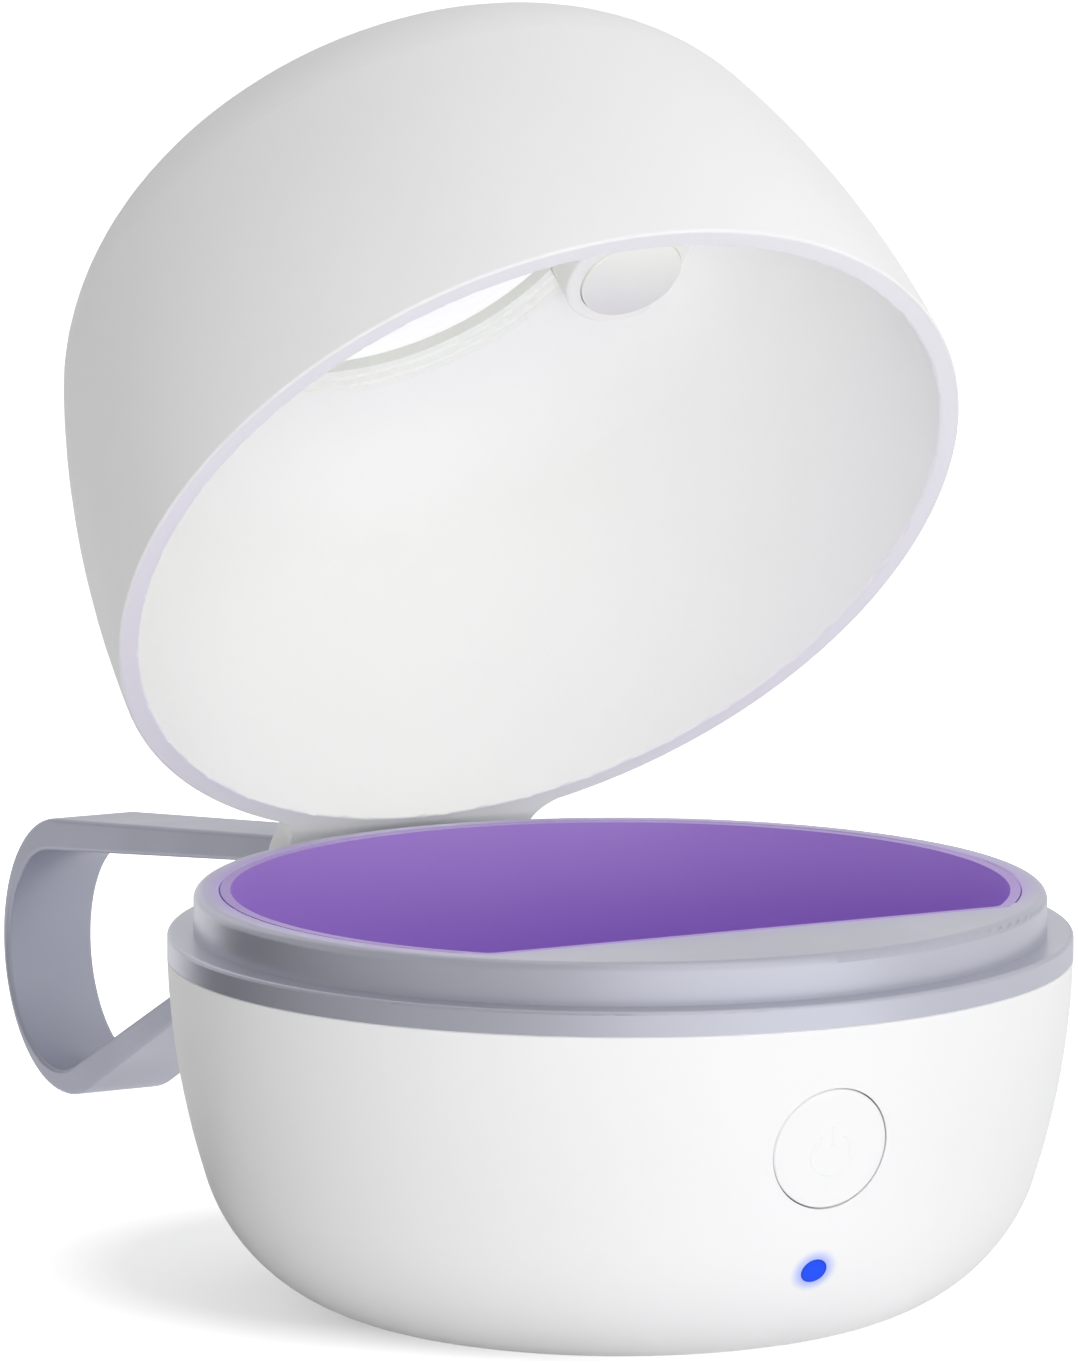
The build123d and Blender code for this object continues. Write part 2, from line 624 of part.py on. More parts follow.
with BuildPart() as battery_leads:
    for lead_y in (-lead_half_gap, lead_half_gap):
        lead_start = (cell_size[0] / 2, lead_y, lead_z)
        lead_turn = (cell_size[0] / 2 + lead_reach, lead_y, lead_z)
        with BuildLine() as lead_path:
            FilletPolyline(lead_start, lead_turn, (lead_turn[0], lead_y, board_z), radius=lead_bend)
        with BuildSketch(Plane(origin=lead_start, z_dir=(1, 0, 0))):
            Circle(lead_radius)
        sweep(path=lead_path.line)
battery_leads.part.label = "battery_leads"
export_step(battery_leads.part, "parts/battery_leads.step")

# ---- front board: switch, lid sensor and indicator, square to the push button ---------------------------
board_front = button_face.offset(-front_board_depth)
switch_width = 6.2
switch_face_depth = 6.4
switch_bore = 1.8
plunger_root = 0.8          # plunger inside the switch
stem_depth = 5.3            # end of the button's stem
sensor_size = (4.0, 2.4, 1.4)
led_size = (3.2, 1.6, 0.8)
flex_thick = 0.12
flex_left = 6
flex_width = 7
flex_bend = 2
flex_top = (-33.2, 17.6)    # Y and Z of the ribbon's ends and of its bend
flex_turn = (-31.0, 13.2)
flex_end = (-27.2, board_top_z + 3 * slip)

with BuildPart() as front_board:
    with BuildSketch(board_front):
        with Locations((0, front_board_low)):
            Rectangle(2 * front_board_half, front_board_high - front_board_low,
                      align=(Align.CENTER, Align.MIN))
    extrude(amount=-board_thick)
front_board.part.label = "front_board"
export_step(front_board.part, "parts/front_board.step")

with BuildPart() as switch_housing:
    with BuildSketch(board_front):
        RectangleRounded(switch_width, switch_width, 0.5)
    extrude(amount=front_board_depth - switch_face_depth)
    with BuildSketch(button_face.offset(-switch_face_depth)):
        Circle(switch_bore)
    extrude(amount=-2 * plunger_root, mode=Mode.SUBTRACT)
switch_housing.part.label = "switch_housing"
export_step(switch_housing.part, "parts/switch_housing.step")

with BuildPart() as switch_plunger:
    with BuildSketch(button_face.offset(-switch_face_depth - plunger_root)):
        Circle(switch_bore - 2 * slip)
    extrude(amount=switch_face_depth + plunger_root - stem_depth - 2 * slip)
switch_plunger.part.label = "switch_plunger"
export_step(switch_plunger.part, "parts/switch_plunger.step")

with BuildPart() as lid_sensor:
    with BuildSketch(board_front):
        with Locations((0, front_board_high - slip)):
            Rectangle(sensor_size[0], sensor_size[1], align=(Align.CENTER, Align.MAX))
    extrude(amount=sensor_size[2])
lid_sensor.part.label = "lid_sensor"
export_step(lid_sensor.part, "parts/lid_sensor.step")

with BuildPart() as indicator_led:
    with BuildSketch(board_front):
        with Locations((0, front_board_low + led_size[1])):
            Rectangle(led_size[0], led_size[1])
    extrude(amount=led_size[2])
indicator_led.part.label = "indicator_led"
export_step(indicator_led.part, "parts/indicator_led.step")

with BuildPart() as front_ribbon:
    with BuildSketch(Plane.YZ.offset(flex_left)):
        with BuildLine():
            ribbon = FilletPolyline(flex_top, flex_turn, flex_end, radius=flex_bend)
            offset(ribbon, amount=flex_thick, side=Side.LEFT)
        make_face()
    extrude(amount=flex_width)
front_ribbon.part.label = "front_ribbon"
export_step(front_ribbon.part, "parts/front_ribbon.step")

# ---- push button, following the bowl's skin, with its stem, and the soft stop ring behind it ------------
cap_thick = 2.4
button_edge = 0.25
guide_length = 7.2
collar_radius = 7.5
collar_top = 3.1            # collar behind the bowl's wall
collar_depth = 4.0
stem_radius = 1.9
seal_inner = 4.7
seal_outer = 6.4
seal_top_depth = 4.7

with BuildPart() as power_button:
    add(bowl_section(0, bowl_top_z))
    revolve(axis=Axis.Z)
    with BuildSketch(button_face.offset(skin_clear)):
        Circle(button_radius)
    extrude(amount=-skin_clear - cap_thick, mode=Mode.INTERSECT)
    skin_edge = power_button.edges().filter_by(GeomType.CIRCLE, reverse=True).filter_by(
        GeomType.LINE, reverse=True)
    fillet(skin_edge, radius=button_edge)
    with BuildSketch(button_face.offset(-cap_thick)):
        Circle(button_radius)
    extrude(amount=-(collar_top - cap_thick))
    with BuildSketch(button_face.offset(-collar_top)):
        Circle(collar_radius)
    extrude(amount=-(collar_depth - collar_top))
    with BuildSketch(button_face.offset(-collar_depth)):
        Circle(stem_radius)
    extrude(amount=-(stem_depth - collar_depth))
power_button.part.label = "power_button"
export_step(power_button.part, "parts/power_button.step")

with BuildPart() as button_seal:
    with BuildSketch(board_front):
        Circle(seal_outer)
        Circle(seal_inner, mode=Mode.SUBTRACT)
    extrude(amount=front_board_depth - seal_top_depth)
button_seal.part.label = "button_seal"
export_step(button_seal.part, "parts/button_seal.step")

# ---- indicator light guide, flush with the skin ---------------------------------------------------------
with BuildPart() as indicator_guide:
    add(bowl_section(0, bowl_top_z))
    revolve(axis=Axis.Z)
    with BuildSketch(guide_face.offset(skin_clear)):
        Circle(guide_radius)
    extrude(amount=-skin_clear - guide_length, mode=Mode.INTERSECT)
indicator_guide.part.label = "indicator_guide"
export_step(indicator_guide.part, "parts/indicator_guide.step")

# ---- foot pad and case screws ---------------------------------------------------------------------------
groove_radii = (20.4, 18.2, 16.0)   # from the outside in
groove_width = 0.9
groove_depth = 0.35

with BuildPart() as foot_pad:
    with BuildSketch(Plane.XY):
        Circle(foot_radius)
    extrude(amount=foot_depth - slip)
    fillet(foot_pad.edges().group_by(Axis.Z)[0], radius=foot_edge)
    # grip grooves round the underside
    with BuildSketch(Plane.XY):
        for groove_radius in groove_radii:
            Circle(groove_radius + groove_width / 2)
            Circle(groove_radius - groove_width / 2, mode=Mode.SUBTRACT)
    extrude(amount=groove_depth, mode=Mode.SUBTRACT)
foot_pad.part.label = "foot_pad"
export_step(foot_pad.part, "parts/foot_pad.step")

case_screw_length = 9
case_head_height = 1.5
with BuildPart() as case_screws:
    add(at_posts(case_head_z, case_screw_radius))
    extrude(amount=case_screw_length)
    add(at_posts(case_head_z, case_head_radius))
    extrude(amount=-case_head_height)
    case_head = Plane.XY.offset(case_head_z - case_head_height)
    add(cross_slots(case_head, 3, post_screw_r, post_start, case_head_radius))
    extrude(amount=case_head_height / 2, mode=Mode.SUBTRACT)
case_screws.part.label = "case_screws"
export_step(case_screws.part, "parts/case_screws.step")

# ---- hinge pin and the two friction washers -------------------------------------------------------------
pin_half = web_half - 0.3
pin_bevel = 0.25
with BuildPart() as hinge_pin:
    with BuildSketch(Plane.YZ.offset(-pin_half)):
        with Locations((hinge_y, hinge_z)):
            Circle(pin_radius)
    extrude(amount=2 * pin_half)
    chamfer(hinge_pin.edges().filter_by(GeomType.CIRCLE), length=pin_bevel)
hinge_pin.part.label = "hinge_pin"
export_step(hinge_pin.part, "parts/hinge_pin.step")

with BuildPart() as hinge_washers:
    for washer_x in (-lug_half - washer_thick, lug_half):
        with BuildSketch(Plane.YZ.offset(washer_x)):
            with Locations((hinge_y, hinge_z)):
                Circle(washer_radius)
                Circle(pin_radius + pin_play, mode=Mode.SUBTRACT)
        extrude(amount=washer_thick)
hinge_washers.part.label = "hinge_washers"
export_step(hinge_washers.part, "parts/hinge_washers.step")

# ---- carrying loop: a flat band, drop-shaped in side view, with a solid root in the socket --------------
with BuildPart() as handle_loop:
    with BuildSketch(Plane.YZ.offset(-strap_half)):
        with Locations(loop_centre):
            Circle(loop_radius)
        with Locations(loop_root_centre):
            Circle(loop_root_radius)
        make_hull()
    extrude(amount=2 * strap_half)
    with BuildSketch(Plane.YZ.offset(-strap_half)):
        with Locations(loop_hole_centre):
            Circle(loop_hole_radius)
        with Locations(loop_apex_centre):
            Circle(loop_apex_radius)
        make_hull()
    extrude(amount=2 * strap_half, mode=Mode.SUBTRACT)
    band_edges = handle_loop.edges().group_by(Axis.X)
    fillet(band_edges[0] + band_edges[-1], radius=strap_edge)
    # the root, cut to the socket's height
    with BuildSketch(Plane.XZ.offset(-socket_floor - push_fit)):
        with Locations((0, loop_root_centre[1])):
            Rectangle(4 * strap_half, 8 * loop_root_radius)
            Rectangle(2 * strap_half, 2 * tongue_half, mode=Mode.SUBTRACT)
    extrude(amount=-(socket_back - socket_floor - push_fit), mode=Mode.SUBTRACT)
    with BuildSketch(Plane.XZ.offset(-socket_floor - push_fit)):
        with Locations((0, loop_root_centre[1])):
            Rectangle(2 * strap_half, 2 * tongue_half)
    extrude(amount=-(socket_back - socket_floor))
    with BuildSketch(Plane.YZ.offset(-2 * strap_half)):
        with Locations((cross_pin_y, loop_root_centre[1])):
            Circle(cross_pin_radius)
    extrude(amount=4 * strap_half, mode=Mode.SUBTRACT)
handle_loop.part.label = "handle_loop"
export_step(handle_loop.part, "parts/handle_loop.step")

cross_pin_half = socket_half - 0.2
with BuildPart() as handle_pin:
    with BuildSketch(Plane.YZ.offset(-cross_pin_half)):
        with Locations((cross_pin_y, loop_root_centre[1])):
            Circle(cross_pin_radius)
    extrude(amount=2 * cross_pin_half)
handle_pin.part.label = "handle_pin"
export_step(handle_pin.part, "parts/handle_pin.step")

# ---- lid: dome, hinge web and knuckles, shoulder boss and window seat, one moulding ---------------------
web_top = hinge_z + knuckle_radius
slot_front = 48.25          # gap in the web for the base's lug and the washers
slot_reach = 10             # it runs this far past the hinge axis on every side
slot_half = lug_half + washer_thick + washer_play
boss_z = ledge_z + boss_height
plug_depth = 2.4            # pocket of the boss
plug_gap = 0.12
lid_magnet_size = (8.0, 1.3, 5.0)
lid_magnet_y = -46.3
lid_magnet_low = ledge_z + 1.1
boss_plane = lid_floor.offset(boss_z)
rim_inner = lid_radius - lid_wall * cos(tilt_c)
below_rim = rim_z - 3       # cutters start this low, and end this far past the crown
past_crown = 30
window_gap = 0.05
web_root_y = 40             # the web starts inside the rim
flange_sink = 0.3           # the web's plan inside the rim's outline

# The hollow is made first: the window's seat, the crown's hole, and the boss left standing in it.
with BuildPart() as window_space:
    with BuildSketch(boss_plane):
        Circle(window_radius + 2 * window_gap)
    extrude(amount=past_crown)
    add(dome_section(window_thick + window_gap, below_rim))
    revolve(axis=lid_axis, mode=Mode.SUBTRACT)

with BuildPart() as boss_post:
    with BuildSketch(boss_plane):
        with Locations(boss_centre):
            Circle(boss_radius)
    extrude(amount=past_crown)
    fillet(boss_post.edges().filter_by(GeomType.CIRCLE).sort_by(lid_axis)[0], radius=boss_edge)

with BuildPart() as lid_hollow:
    add(dome_section(lid_wall, below_rim))
    # flared at the mouth, which rounds the rim's inner edge
    with BuildSketch(lid_section):
        with BuildLine():
            mouth_edge = CenterArc((rim_inner + rim_edge, rim_z + rim_edge), rim_edge, 180, 90)
            Polyline(mouth_edge @ 1, (rim_inner - 1, rim_z), (rim_inner - 1, rim_z + rim_edge),
                     mouth_edge @ 0)
        make_face()
    revolve(axis=lid_axis)
    with BuildSketch(boss_plane):
        Circle(crown_hole_radius)
    extrude(amount=past_crown)
    add(boss_post.part, mode=Mode.SUBTRACT)
    add(window_space.part)

with BuildPart() as lid_shell:
    add(dome_section(0, rim_z))
    revolve(axis=lid_axis)
    fillet(lid_shell.edges().filter_by(GeomType.CIRCLE).sort_by(lid_axis)[0], radius=rim_edge)
    # web, flared into the rim, with the knuckles along its edge
    with BuildSketch(lid_floor.offset(rim_z)) as web_plan:
        Circle(lid_radius - flange_sink)
        with Locations((0, web_root_y)):
            Rectangle(2 * web_half, hinge_y - web_root_y, align=(Align.CENTER, Align.MIN))
        web_corners = web_plan.vertices().filter_by(lambda vertex: web_root_y < vertex.Y < hinge_y - 1)
        fillet(web_corners, radius=web_blend)
    extrude(amount=web_top - rim_z)
    with BuildSketch(lid_side.offset(-web_half)):
        with Locations((hinge_y, hinge_z)):
            Circle(knuckle_radius)
    extrude(amount=2 * web_half)
    add(lid_hollow.part, mode=Mode.SUBTRACT)
    with BuildSketch(lid_side.offset(-slot_half)):
        with Locations((slot_front, hinge_z - slot_reach)):
            Rectangle(2 * slot_reach, 2 * slot_reach, align=(Align.MIN, Align.MIN))
    extrude(amount=2 * slot_half, mode=Mode.SUBTRACT)
    with BuildSketch(lid_side.offset(-web_half - 1)):
        with Locations((hinge_y, hinge_z)):
            Circle(pin_radius + pin_play)
    extrude(amount=2 * web_half + 2, mode=Mode.SUBTRACT)
    # pocket of the shoulder boss, and the pocket for the magnet in the rim
    with BuildSketch(boss_plane):
        with Locations(boss_centre):
            Circle(plug_radius + plug_gap)
    extrude(amount=plug_depth, mode=Mode.SUBTRACT)
    with BuildSketch(lid_floor.offset(lid_magnet_low)):
        with Locations((0, lid_magnet_y)):
            Rectangle(lid_magnet_size[0] + 2 * magnet_play, lid_magnet_size[1] + 2 * magnet_play)
        with Locations((0, lid_magnet_y + 1)):
            Rectangle(lid_magnet_size[0] + 2 * magnet_play, lid_magnet_size[1])
    extrude(amount=lid_magnet_size[2] + magnet_play, mode=Mode.SUBTRACT)
lid_shell.part.label = "lid_shell"
export_step(lid_shell.part, "parts/lid_shell.step")

# ---- crown window, its stepped trim ring, the boss's plug and the magnet in the rim ---------------------
with BuildPart() as crown_window:
    add(dome_section(0, rim_z))
    revolve(axis=lid_axis)
    with BuildSketch(boss_plane):
        Circle(window_radius)
    extrude(amount=past_crown, mode=Mode.INTERSECT)
    add(dome_section(window_thick, below_rim))
    revolve(axis=lid_axis, mode=Mode.SUBTRACT)
crown_window.part.label = "crown_window"
export_step(crown_window.part, "parts/crown_window.step")

# The trim ring's spigot stands in the hole up to the window; its steps cover the hole's edge. The
# boss stands partly in the hole, so the ring is cut away round it.
trim_low = crown_height_at(trim_radii[-1], lid_wall) - trim_step
trim_high = trim_low + 2 * trim_step
spigot_top = crown_height_at(crown_hole_radius, window_thick) - 2 * window_gap
trim_reach = 12             # the steps are drawn up past the lid and cut to it
with BuildPart() as window_ring:
    with BuildSketch(lid_section):
        for step_count, step_inner in enumerate(trim_radii[:-1]):
            with Locations((step_inner, trim_high - step_count * trim_step)):
                Rectangle(trim_radii[step_count + 1] - step_inner, trim_reach, align=(Align.MIN, Align.MIN))
    revolve(axis=lid_axis)
    add(dome_section(lid_wall + window_gap, below_rim))
    revolve(axis=lid_axis, mode=Mode.INTERSECT)
    with BuildSketch(lid_section):
        with Locations((trim_radii[0], trim_high)):
            Rectangle(crown_hole_radius - window_gap - trim_radii[0], spigot_top - trim_high,
                      align=(Align.MIN, Align.MIN))
    revolve(axis=lid_axis)
    with BuildSketch(boss_plane.offset(-past_crown / 2)):
        with Locations(boss_centre):
            Circle(boss_radius + 2 * window_gap)
    extrude(amount=2 * past_crown, mode=Mode.SUBTRACT)
window_ring.part.label = "window_ring"
export_step(window_ring.part, "parts/window_ring.step")

# The plug's face is a shallow dome: a turned profile about the boss's own axis.
plug_axis_plane = Plane(lid_side.offset(boss_centre[0]).location * Pos(boss_centre[1], boss_z, 0))
plug_dome_slope = asin(plug_radius / plug_dome_radius)
plug_edge_radius = 0.12
with BuildPart() as boss_plug:
    with BuildSketch(plug_axis_plane) as plug_profile:
        with BuildLine():
            dome = JernArc((plug_radius, -plug_proud), (-cos(plug_dome_slope), -sin(plug_dome_slope)),
                           plug_dome_radius, -degrees(plug_dome_slope))
            Polyline(dome @ 1, (0, plug_depth - slip), (plug_radius, plug_depth - slip), dome @ 0)
        make_face()
        plug_edge = plug_profile.vertices().filter_by(lambda vertex: vertex.X > slip).sort_by(Axis.Y)[0]
        fillet(plug_edge, radius=plug_edge_radius)
    revolve(axis=Axis(plug_axis_plane.origin, plug_axis_plane.y_dir))
boss_plug.part.label = "boss_plug"
export_step(boss_plug.part, "parts/boss_plug.step")

with BuildPart() as lid_magnet:
    with BuildSketch(lid_floor.offset(lid_magnet_low)):
        with Locations((0, lid_magnet_y)):
            Rectangle(lid_magnet_size[0], lid_magnet_size[1])
    extrude(amount=lid_magnet_size[2])
lid_magnet.part.label = "lid_magnet"
export_step(lid_magnet.part, "parts/lid_magnet.step")
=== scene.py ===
import bpy
import bmesh
import json
import math
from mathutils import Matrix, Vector
from mathutils.bvhtree import BVHTree


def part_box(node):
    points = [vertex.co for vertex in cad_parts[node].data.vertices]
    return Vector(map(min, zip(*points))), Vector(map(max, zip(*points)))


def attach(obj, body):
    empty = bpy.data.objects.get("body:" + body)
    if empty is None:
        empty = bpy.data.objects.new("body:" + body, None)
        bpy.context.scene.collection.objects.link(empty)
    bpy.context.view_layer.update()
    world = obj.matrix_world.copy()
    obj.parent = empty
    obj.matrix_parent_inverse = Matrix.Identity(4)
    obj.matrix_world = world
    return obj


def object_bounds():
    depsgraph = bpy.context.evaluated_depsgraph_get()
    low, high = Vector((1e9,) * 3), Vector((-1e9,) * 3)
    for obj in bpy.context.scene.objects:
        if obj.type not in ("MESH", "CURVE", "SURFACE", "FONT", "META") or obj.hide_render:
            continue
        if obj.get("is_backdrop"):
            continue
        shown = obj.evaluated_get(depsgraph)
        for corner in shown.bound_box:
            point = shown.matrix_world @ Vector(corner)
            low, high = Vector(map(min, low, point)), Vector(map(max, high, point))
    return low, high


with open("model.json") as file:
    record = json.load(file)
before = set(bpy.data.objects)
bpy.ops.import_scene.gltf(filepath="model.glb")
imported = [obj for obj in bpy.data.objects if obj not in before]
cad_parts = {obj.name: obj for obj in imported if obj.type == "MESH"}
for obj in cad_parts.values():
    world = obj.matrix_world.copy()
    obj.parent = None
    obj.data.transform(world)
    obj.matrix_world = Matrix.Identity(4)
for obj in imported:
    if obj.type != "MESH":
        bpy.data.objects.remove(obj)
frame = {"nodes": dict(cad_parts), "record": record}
cad_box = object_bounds()

# ---- bowl shell -------------------------------------------------------------------------------------
# The case's outer bowl: one injection moulding in white ABS. Its mould is spark-eroded very finely,
# which leaves a satin skin with soft highlights. Round the indicator's hole a blue glow is painted
# into the wall's colour, standing in for the indicator's light.
mm = 0.001


def linear(shade):
    """An sRGB hex value as the linear colour that a shader takes."""
    parts = [int(shade[i:i + 2], 16) / 255 for i in (1, 3, 5)]
    return [p / 12.92 if p <= 0.04045 else ((p + 0.055) / 1.055) ** 2.4 for p in parts] + [1.0]


def add(tree, kind, inputs=None, **settings):
    """Adds a node with its settings. An input is a value, or another node's output to link."""
    made = tree.nodes.new(kind)
    for name, value in settings.items():
        setattr(made, name, value)
    for socket, value in (inputs or {}).items():
        if isinstance(value, bpy.types.NodeSocket):
            tree.links.new(value, made.inputs[socket])
        else:
            made.inputs[socket].default_value = value
    return made


def finish(name, **shader):
    """A material with one Principled shader: its tree, the shader, and the piece's own coordinates."""
    material = bpy.data.materials.new(name)
    material.use_nodes = True
    tree = material.node_tree
    principled = tree.nodes["Principled BSDF"]
    for socket, value in shader.items():
        principled.inputs[socket.replace("_", " ")].default_value = value
    place = add(tree, "ShaderNodeTexCoord").outputs["Object"]
    return material, tree, principled, place


def mottle(tree, place, pale, deep, patch):
    """The faint cloudiness of a moulded plastic: two close shades in patches of a given size."""
    clouds = add(tree, "ShaderNodeTexNoise", {"Vector": place, "Scale": 1 / patch, "Detail": 2.0})
    shades = add(tree, "ShaderNodeMix", {"Factor": clouds.outputs["Fac"], "A": linear(pale),
                                         "B": linear(deep)}, data_type="RGBA")
    return shades.outputs["Result"]


def grained(tree, principled, place, grain, relief, dull, bright):
    """Fine relief of the mould's skin, and the uneven sheen that comes with it."""
    skin = add(tree, "ShaderNodeTexNoise", {"Vector": place, "Scale": 1 / grain, "Detail": 3.0,
                                            "Roughness": 0.6})
    relief_node = add(tree, "ShaderNodeBump", {"Height": skin.outputs["Fac"], "Distance": relief})
    tree.links.new(relief_node.outputs["Normal"], principled.inputs["Normal"])
    wipe_patch = 12 * mm
    wipe = add(tree, "ShaderNodeTexNoise", {"Vector": place, "Scale": 1 / wipe_patch, "Detail": 2.0})
    sheen = add(tree, "ShaderNodeMapRange", {"Value": wipe.outputs["Fac"], "From Min": 0.3,
                                             "From Max": 0.7, "To Min": bright, "To Max": dull})
    tree.links.new(sheen.outputs["Result"], principled.inputs["Roughness"])


def moulded(name, pale, deep, patch, grain, relief, dull, bright, **shader):
    """A finish with mottled colour and a grained skin, as most of the case's parts have."""
    material, tree, principled, place = finish(name, **shader)
    tree.links.new(mottle(tree, place, pale, deep, patch), principled.inputs["Base Color"])
    grained(tree, principled, place, grain, relief, dull, bright)
    return material


def wear(material, *names):
    """Gives CAD nodes their finish."""
    for name in names:
        frame["nodes"][name].material_slots[0].material = material


# Satin ABS: IOR 1.53, spark texture of about 0.25 mm, 4 micrometres deep.
white_pale, white_deep = "#F4F4F5", "#F1F1F2"
white_patch, white_grain, white_relief = 30 * mm, 0.25 * mm, 0.004 * mm
white_dull, white_bright = 0.46, 0.40
guide_centre = Vector((0, -42.837, 11.9)) * mm
painted_halo_start, painted_halo_end, painted_halo_strength = 1.35 * mm, 2.9 * mm, 0.72
bowl_abs, tree, principled, place = finish("white_abs_bowl", IOR=1.53, Specular_IOR_Level=0.42)
skin = mottle(tree, place, white_pale, white_deep, white_patch)
# Painted light: the indicator's blue glow, mixed into the colour round the guide and fading outward.
away = add(tree, "ShaderNodeVectorMath", {0: place, 1: guide_centre}, operation="DISTANCE")
painted_halo = add(tree, "ShaderNodeMapRange", {"Value": away.outputs["Value"], "From Min": painted_halo_start,
                                         "From Max": painted_halo_end, "To Min": painted_halo_strength, "To Max": 0.0},
            interpolation_type="SMOOTHSTEP")
lit = add(tree, "ShaderNodeMix", {"Factor": painted_halo.outputs["Result"], "A": skin,
                                  "B": linear("#8FA6FF")}, data_type="RGBA")
tree.links.new(lit.outputs["Result"], principled.inputs["Base Color"])
grained(tree, principled, place, white_grain, white_relief, white_dull, white_bright)
wear(bowl_abs, "base_shell")

# ---- foot pad and soft parts ------------------------------------------------------------------------
# Compression-moulded silicone rubber: the grooved foot pad, the window's seal, the button's stop and
# the cell's pad. Matt, slightly warm grey white, with a dusty bloom.
silicone = moulded("silicone_rubber", "#D9D9DC", "#CFCFD3", patch=8 * mm, grain=0.4 * mm,
                   relief=0.01 * mm, dull=0.75, bright=0.62, IOR=1.41, Specular_IOR_Level=0.35)
wear(silicone, "foot_pad", "window_seal", "button_seal", "battery_pad")

# ---- battery ----------------------------------------------------------------------------------------
# A lithium pouch: aluminium laminate, drawn over the cell, with a soft crinkle in its skin, and two
# leads in red silicone sleeves.
laminate = moulded("aluminium_laminate", "#C9CBCF", "#B9BBC0", patch=5 * mm, grain=1.6 * mm,
                   relief=0.05 * mm, dull=0.42, bright=0.34, Metallic=1.0)
wear(laminate, "battery_cell")
sleeve = moulded("silicone_sleeve", "#B3261E", "#A1211A", patch=3 * mm, grain=0.3 * mm,
                 relief=0.006 * mm, dull=0.60, bright=0.50, IOR=1.41)
wear(sleeve, "battery_leads")

# ---- circuit boards and their parts -----------------------------------------------------------------
# Glass-epoxy boards under green solder mask. Chips, switch, sensor and connectors are black moulded
# epoxy. The chips stand on tinned legs, and a ring of small resistors is soldered round the lamp.
solder_mask = moulded("solder_mask", "#1F6B43", "#17573A", patch=3 * mm, grain=0.5 * mm,
                      relief=0.004 * mm, dull=0.42, bright=0.34, IOR=1.52)
wear(solder_mask, "main_board", "front_board", "lamp_board", "front_ribbon")
black_epoxy = moulded("black_epoxy", "#242426", "#1B1B1D", patch=2 * mm, grain=0.12 * mm,
                      relief=0.006 * mm, dull=0.58, bright=0.50, IOR=1.55)
wear(black_epoxy, "board_parts", "switch_housing", "switch_plunger", "lid_sensor", "lamp_header",
     "port_tongue")


def sized_tree(name, sizes):
    """A Geometry Nodes tree with named sizes as inputs, and the node that gives them."""
    tree = bpy.data.node_groups.new(name, "GeometryNodeTree")
    for size, value in sizes.items():
        kind = "NodeSocketInt" if isinstance(value, int) else "NodeSocketFloat"
        tree.interface.new_socket(size, in_out="INPUT", socket_type=kind)
    tree.interface.new_socket("Geometry", in_out="OUTPUT", socket_type="NodeSocketGeometry")
    return tree, add(tree, "NodeGroupInput").outputs


def ring_points(tree, count, radius, start, height):
    """Points evenly round the main axis, and each point's angle for turning what stands on it."""
    order = add(tree, "GeometryNodeInputIndex").outputs[0]
    step = add(tree, "ShaderNodeMath", {0: math.tau, 1: count}, operation="DIVIDE").outputs[0]
    angle = add(tree, "ShaderNodeMath", {0: order, 1: step, 2: start}, operation="MULTIPLY_ADD").outputs[0]
    along = [add(tree, "ShaderNodeMath", {0: angle}, operation=turn).outputs[0]
             for turn in ("COSINE", "SINE")]
    arm = [add(tree, "ShaderNodeMath", {0: part, 1: radius}, operation="MULTIPLY").outputs[0]
           for part in along]
    spot = add(tree, "ShaderNodeCombineXYZ", {"X": arm[0], "Y": arm[1], "Z": height}).outputs[0]
    points = add(tree, "GeometryNodePoints", {"Count": count, "Position": spot}).outputs[0]
    turned = add(tree, "ShaderNodeCombineXYZ", {"Z": angle}).outputs[0]
    return points, turned


def made_piece(name, tree, sizes, shape, material, body):
    """Closes a tree with real meshes and one material, and turns its result into a plain piece."""
    real = add(tree, "GeometryNodeRealizeInstances", {"Geometry": shape}).outputs[0]
    coated = add(tree, "GeometryNodeSetMaterial", {"Geometry": real, "Material": material}).outputs[0]
    add(tree, "NodeGroupOutput", {"Geometry": coated})
    blank = bpy.data.objects.new(name + "_blank", bpy.data.meshes.new(name + "_blank"))
    bpy.context.scene.collection.objects.link(blank)
    maker = blank.modifiers.new("maker", "NODES")
    maker.node_group = tree
    for item in tree.interface.items_tree:
        if item.in_out == "INPUT":
            maker[item.identifier] = sizes[item.name]
    made = blank.evaluated_get(bpy.context.evaluated_depsgraph_get())
    mesh = bpy.data.meshes.new_from_object(made)
    blank.modifiers.remove(maker)
    bpy.data.objects.remove(blank)
    piece = bpy.data.objects.new(name, mesh)
    bpy.context.scene.collection.objects.link(piece)
    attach(piece, body)


board_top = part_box("main_board")[1].z
tinned = moulded("tinned_copper", "#D2D0CB", "#C4C2BC", patch=1 * mm, grain=0.1 * mm,
                 relief=0.002 * mm, dull=0.38, bright=0.30, Metallic=1.0)
leg_pitch = 0.65 * mm
sizes = {"Legs": 8, "Pitch": leg_pitch, "Leg Width": 0.25 * mm, "Leg Length": 0.9 * mm,
         "Leg Height": 0.18 * mm, "Chip Half": 3.0 * mm, "Chip Spread": 54 * mm, "Chip Back": -3 * mm,
         "Board Top": board_top}
tree, given = sized_tree("chip_leg_rows", sizes)
leg_size = add(tree, "ShaderNodeCombineXYZ", {"X": given["Leg Length"], "Y": given["Leg Width"],
                                              "Z": given["Leg Height"]}).outputs[0]
leg = add(tree, "GeometryNodeMeshCube", {"Size": leg_size}).outputs[0]
row_span = add(tree, "ShaderNodeMath", {0: given["Legs"], 1: given["Pitch"]},
               operation="MULTIPLY").outputs[0]
row_start = add(tree, "ShaderNodeMath", {0: row_span, 1: -0.5, 2: leg_pitch / 2},
                operation="MULTIPLY_ADD").outputs[0]
row_low = add(tree, "ShaderNodeMath", {0: given["Leg Height"], 1: 0.5}, operation="MULTIPLY").outputs[0]
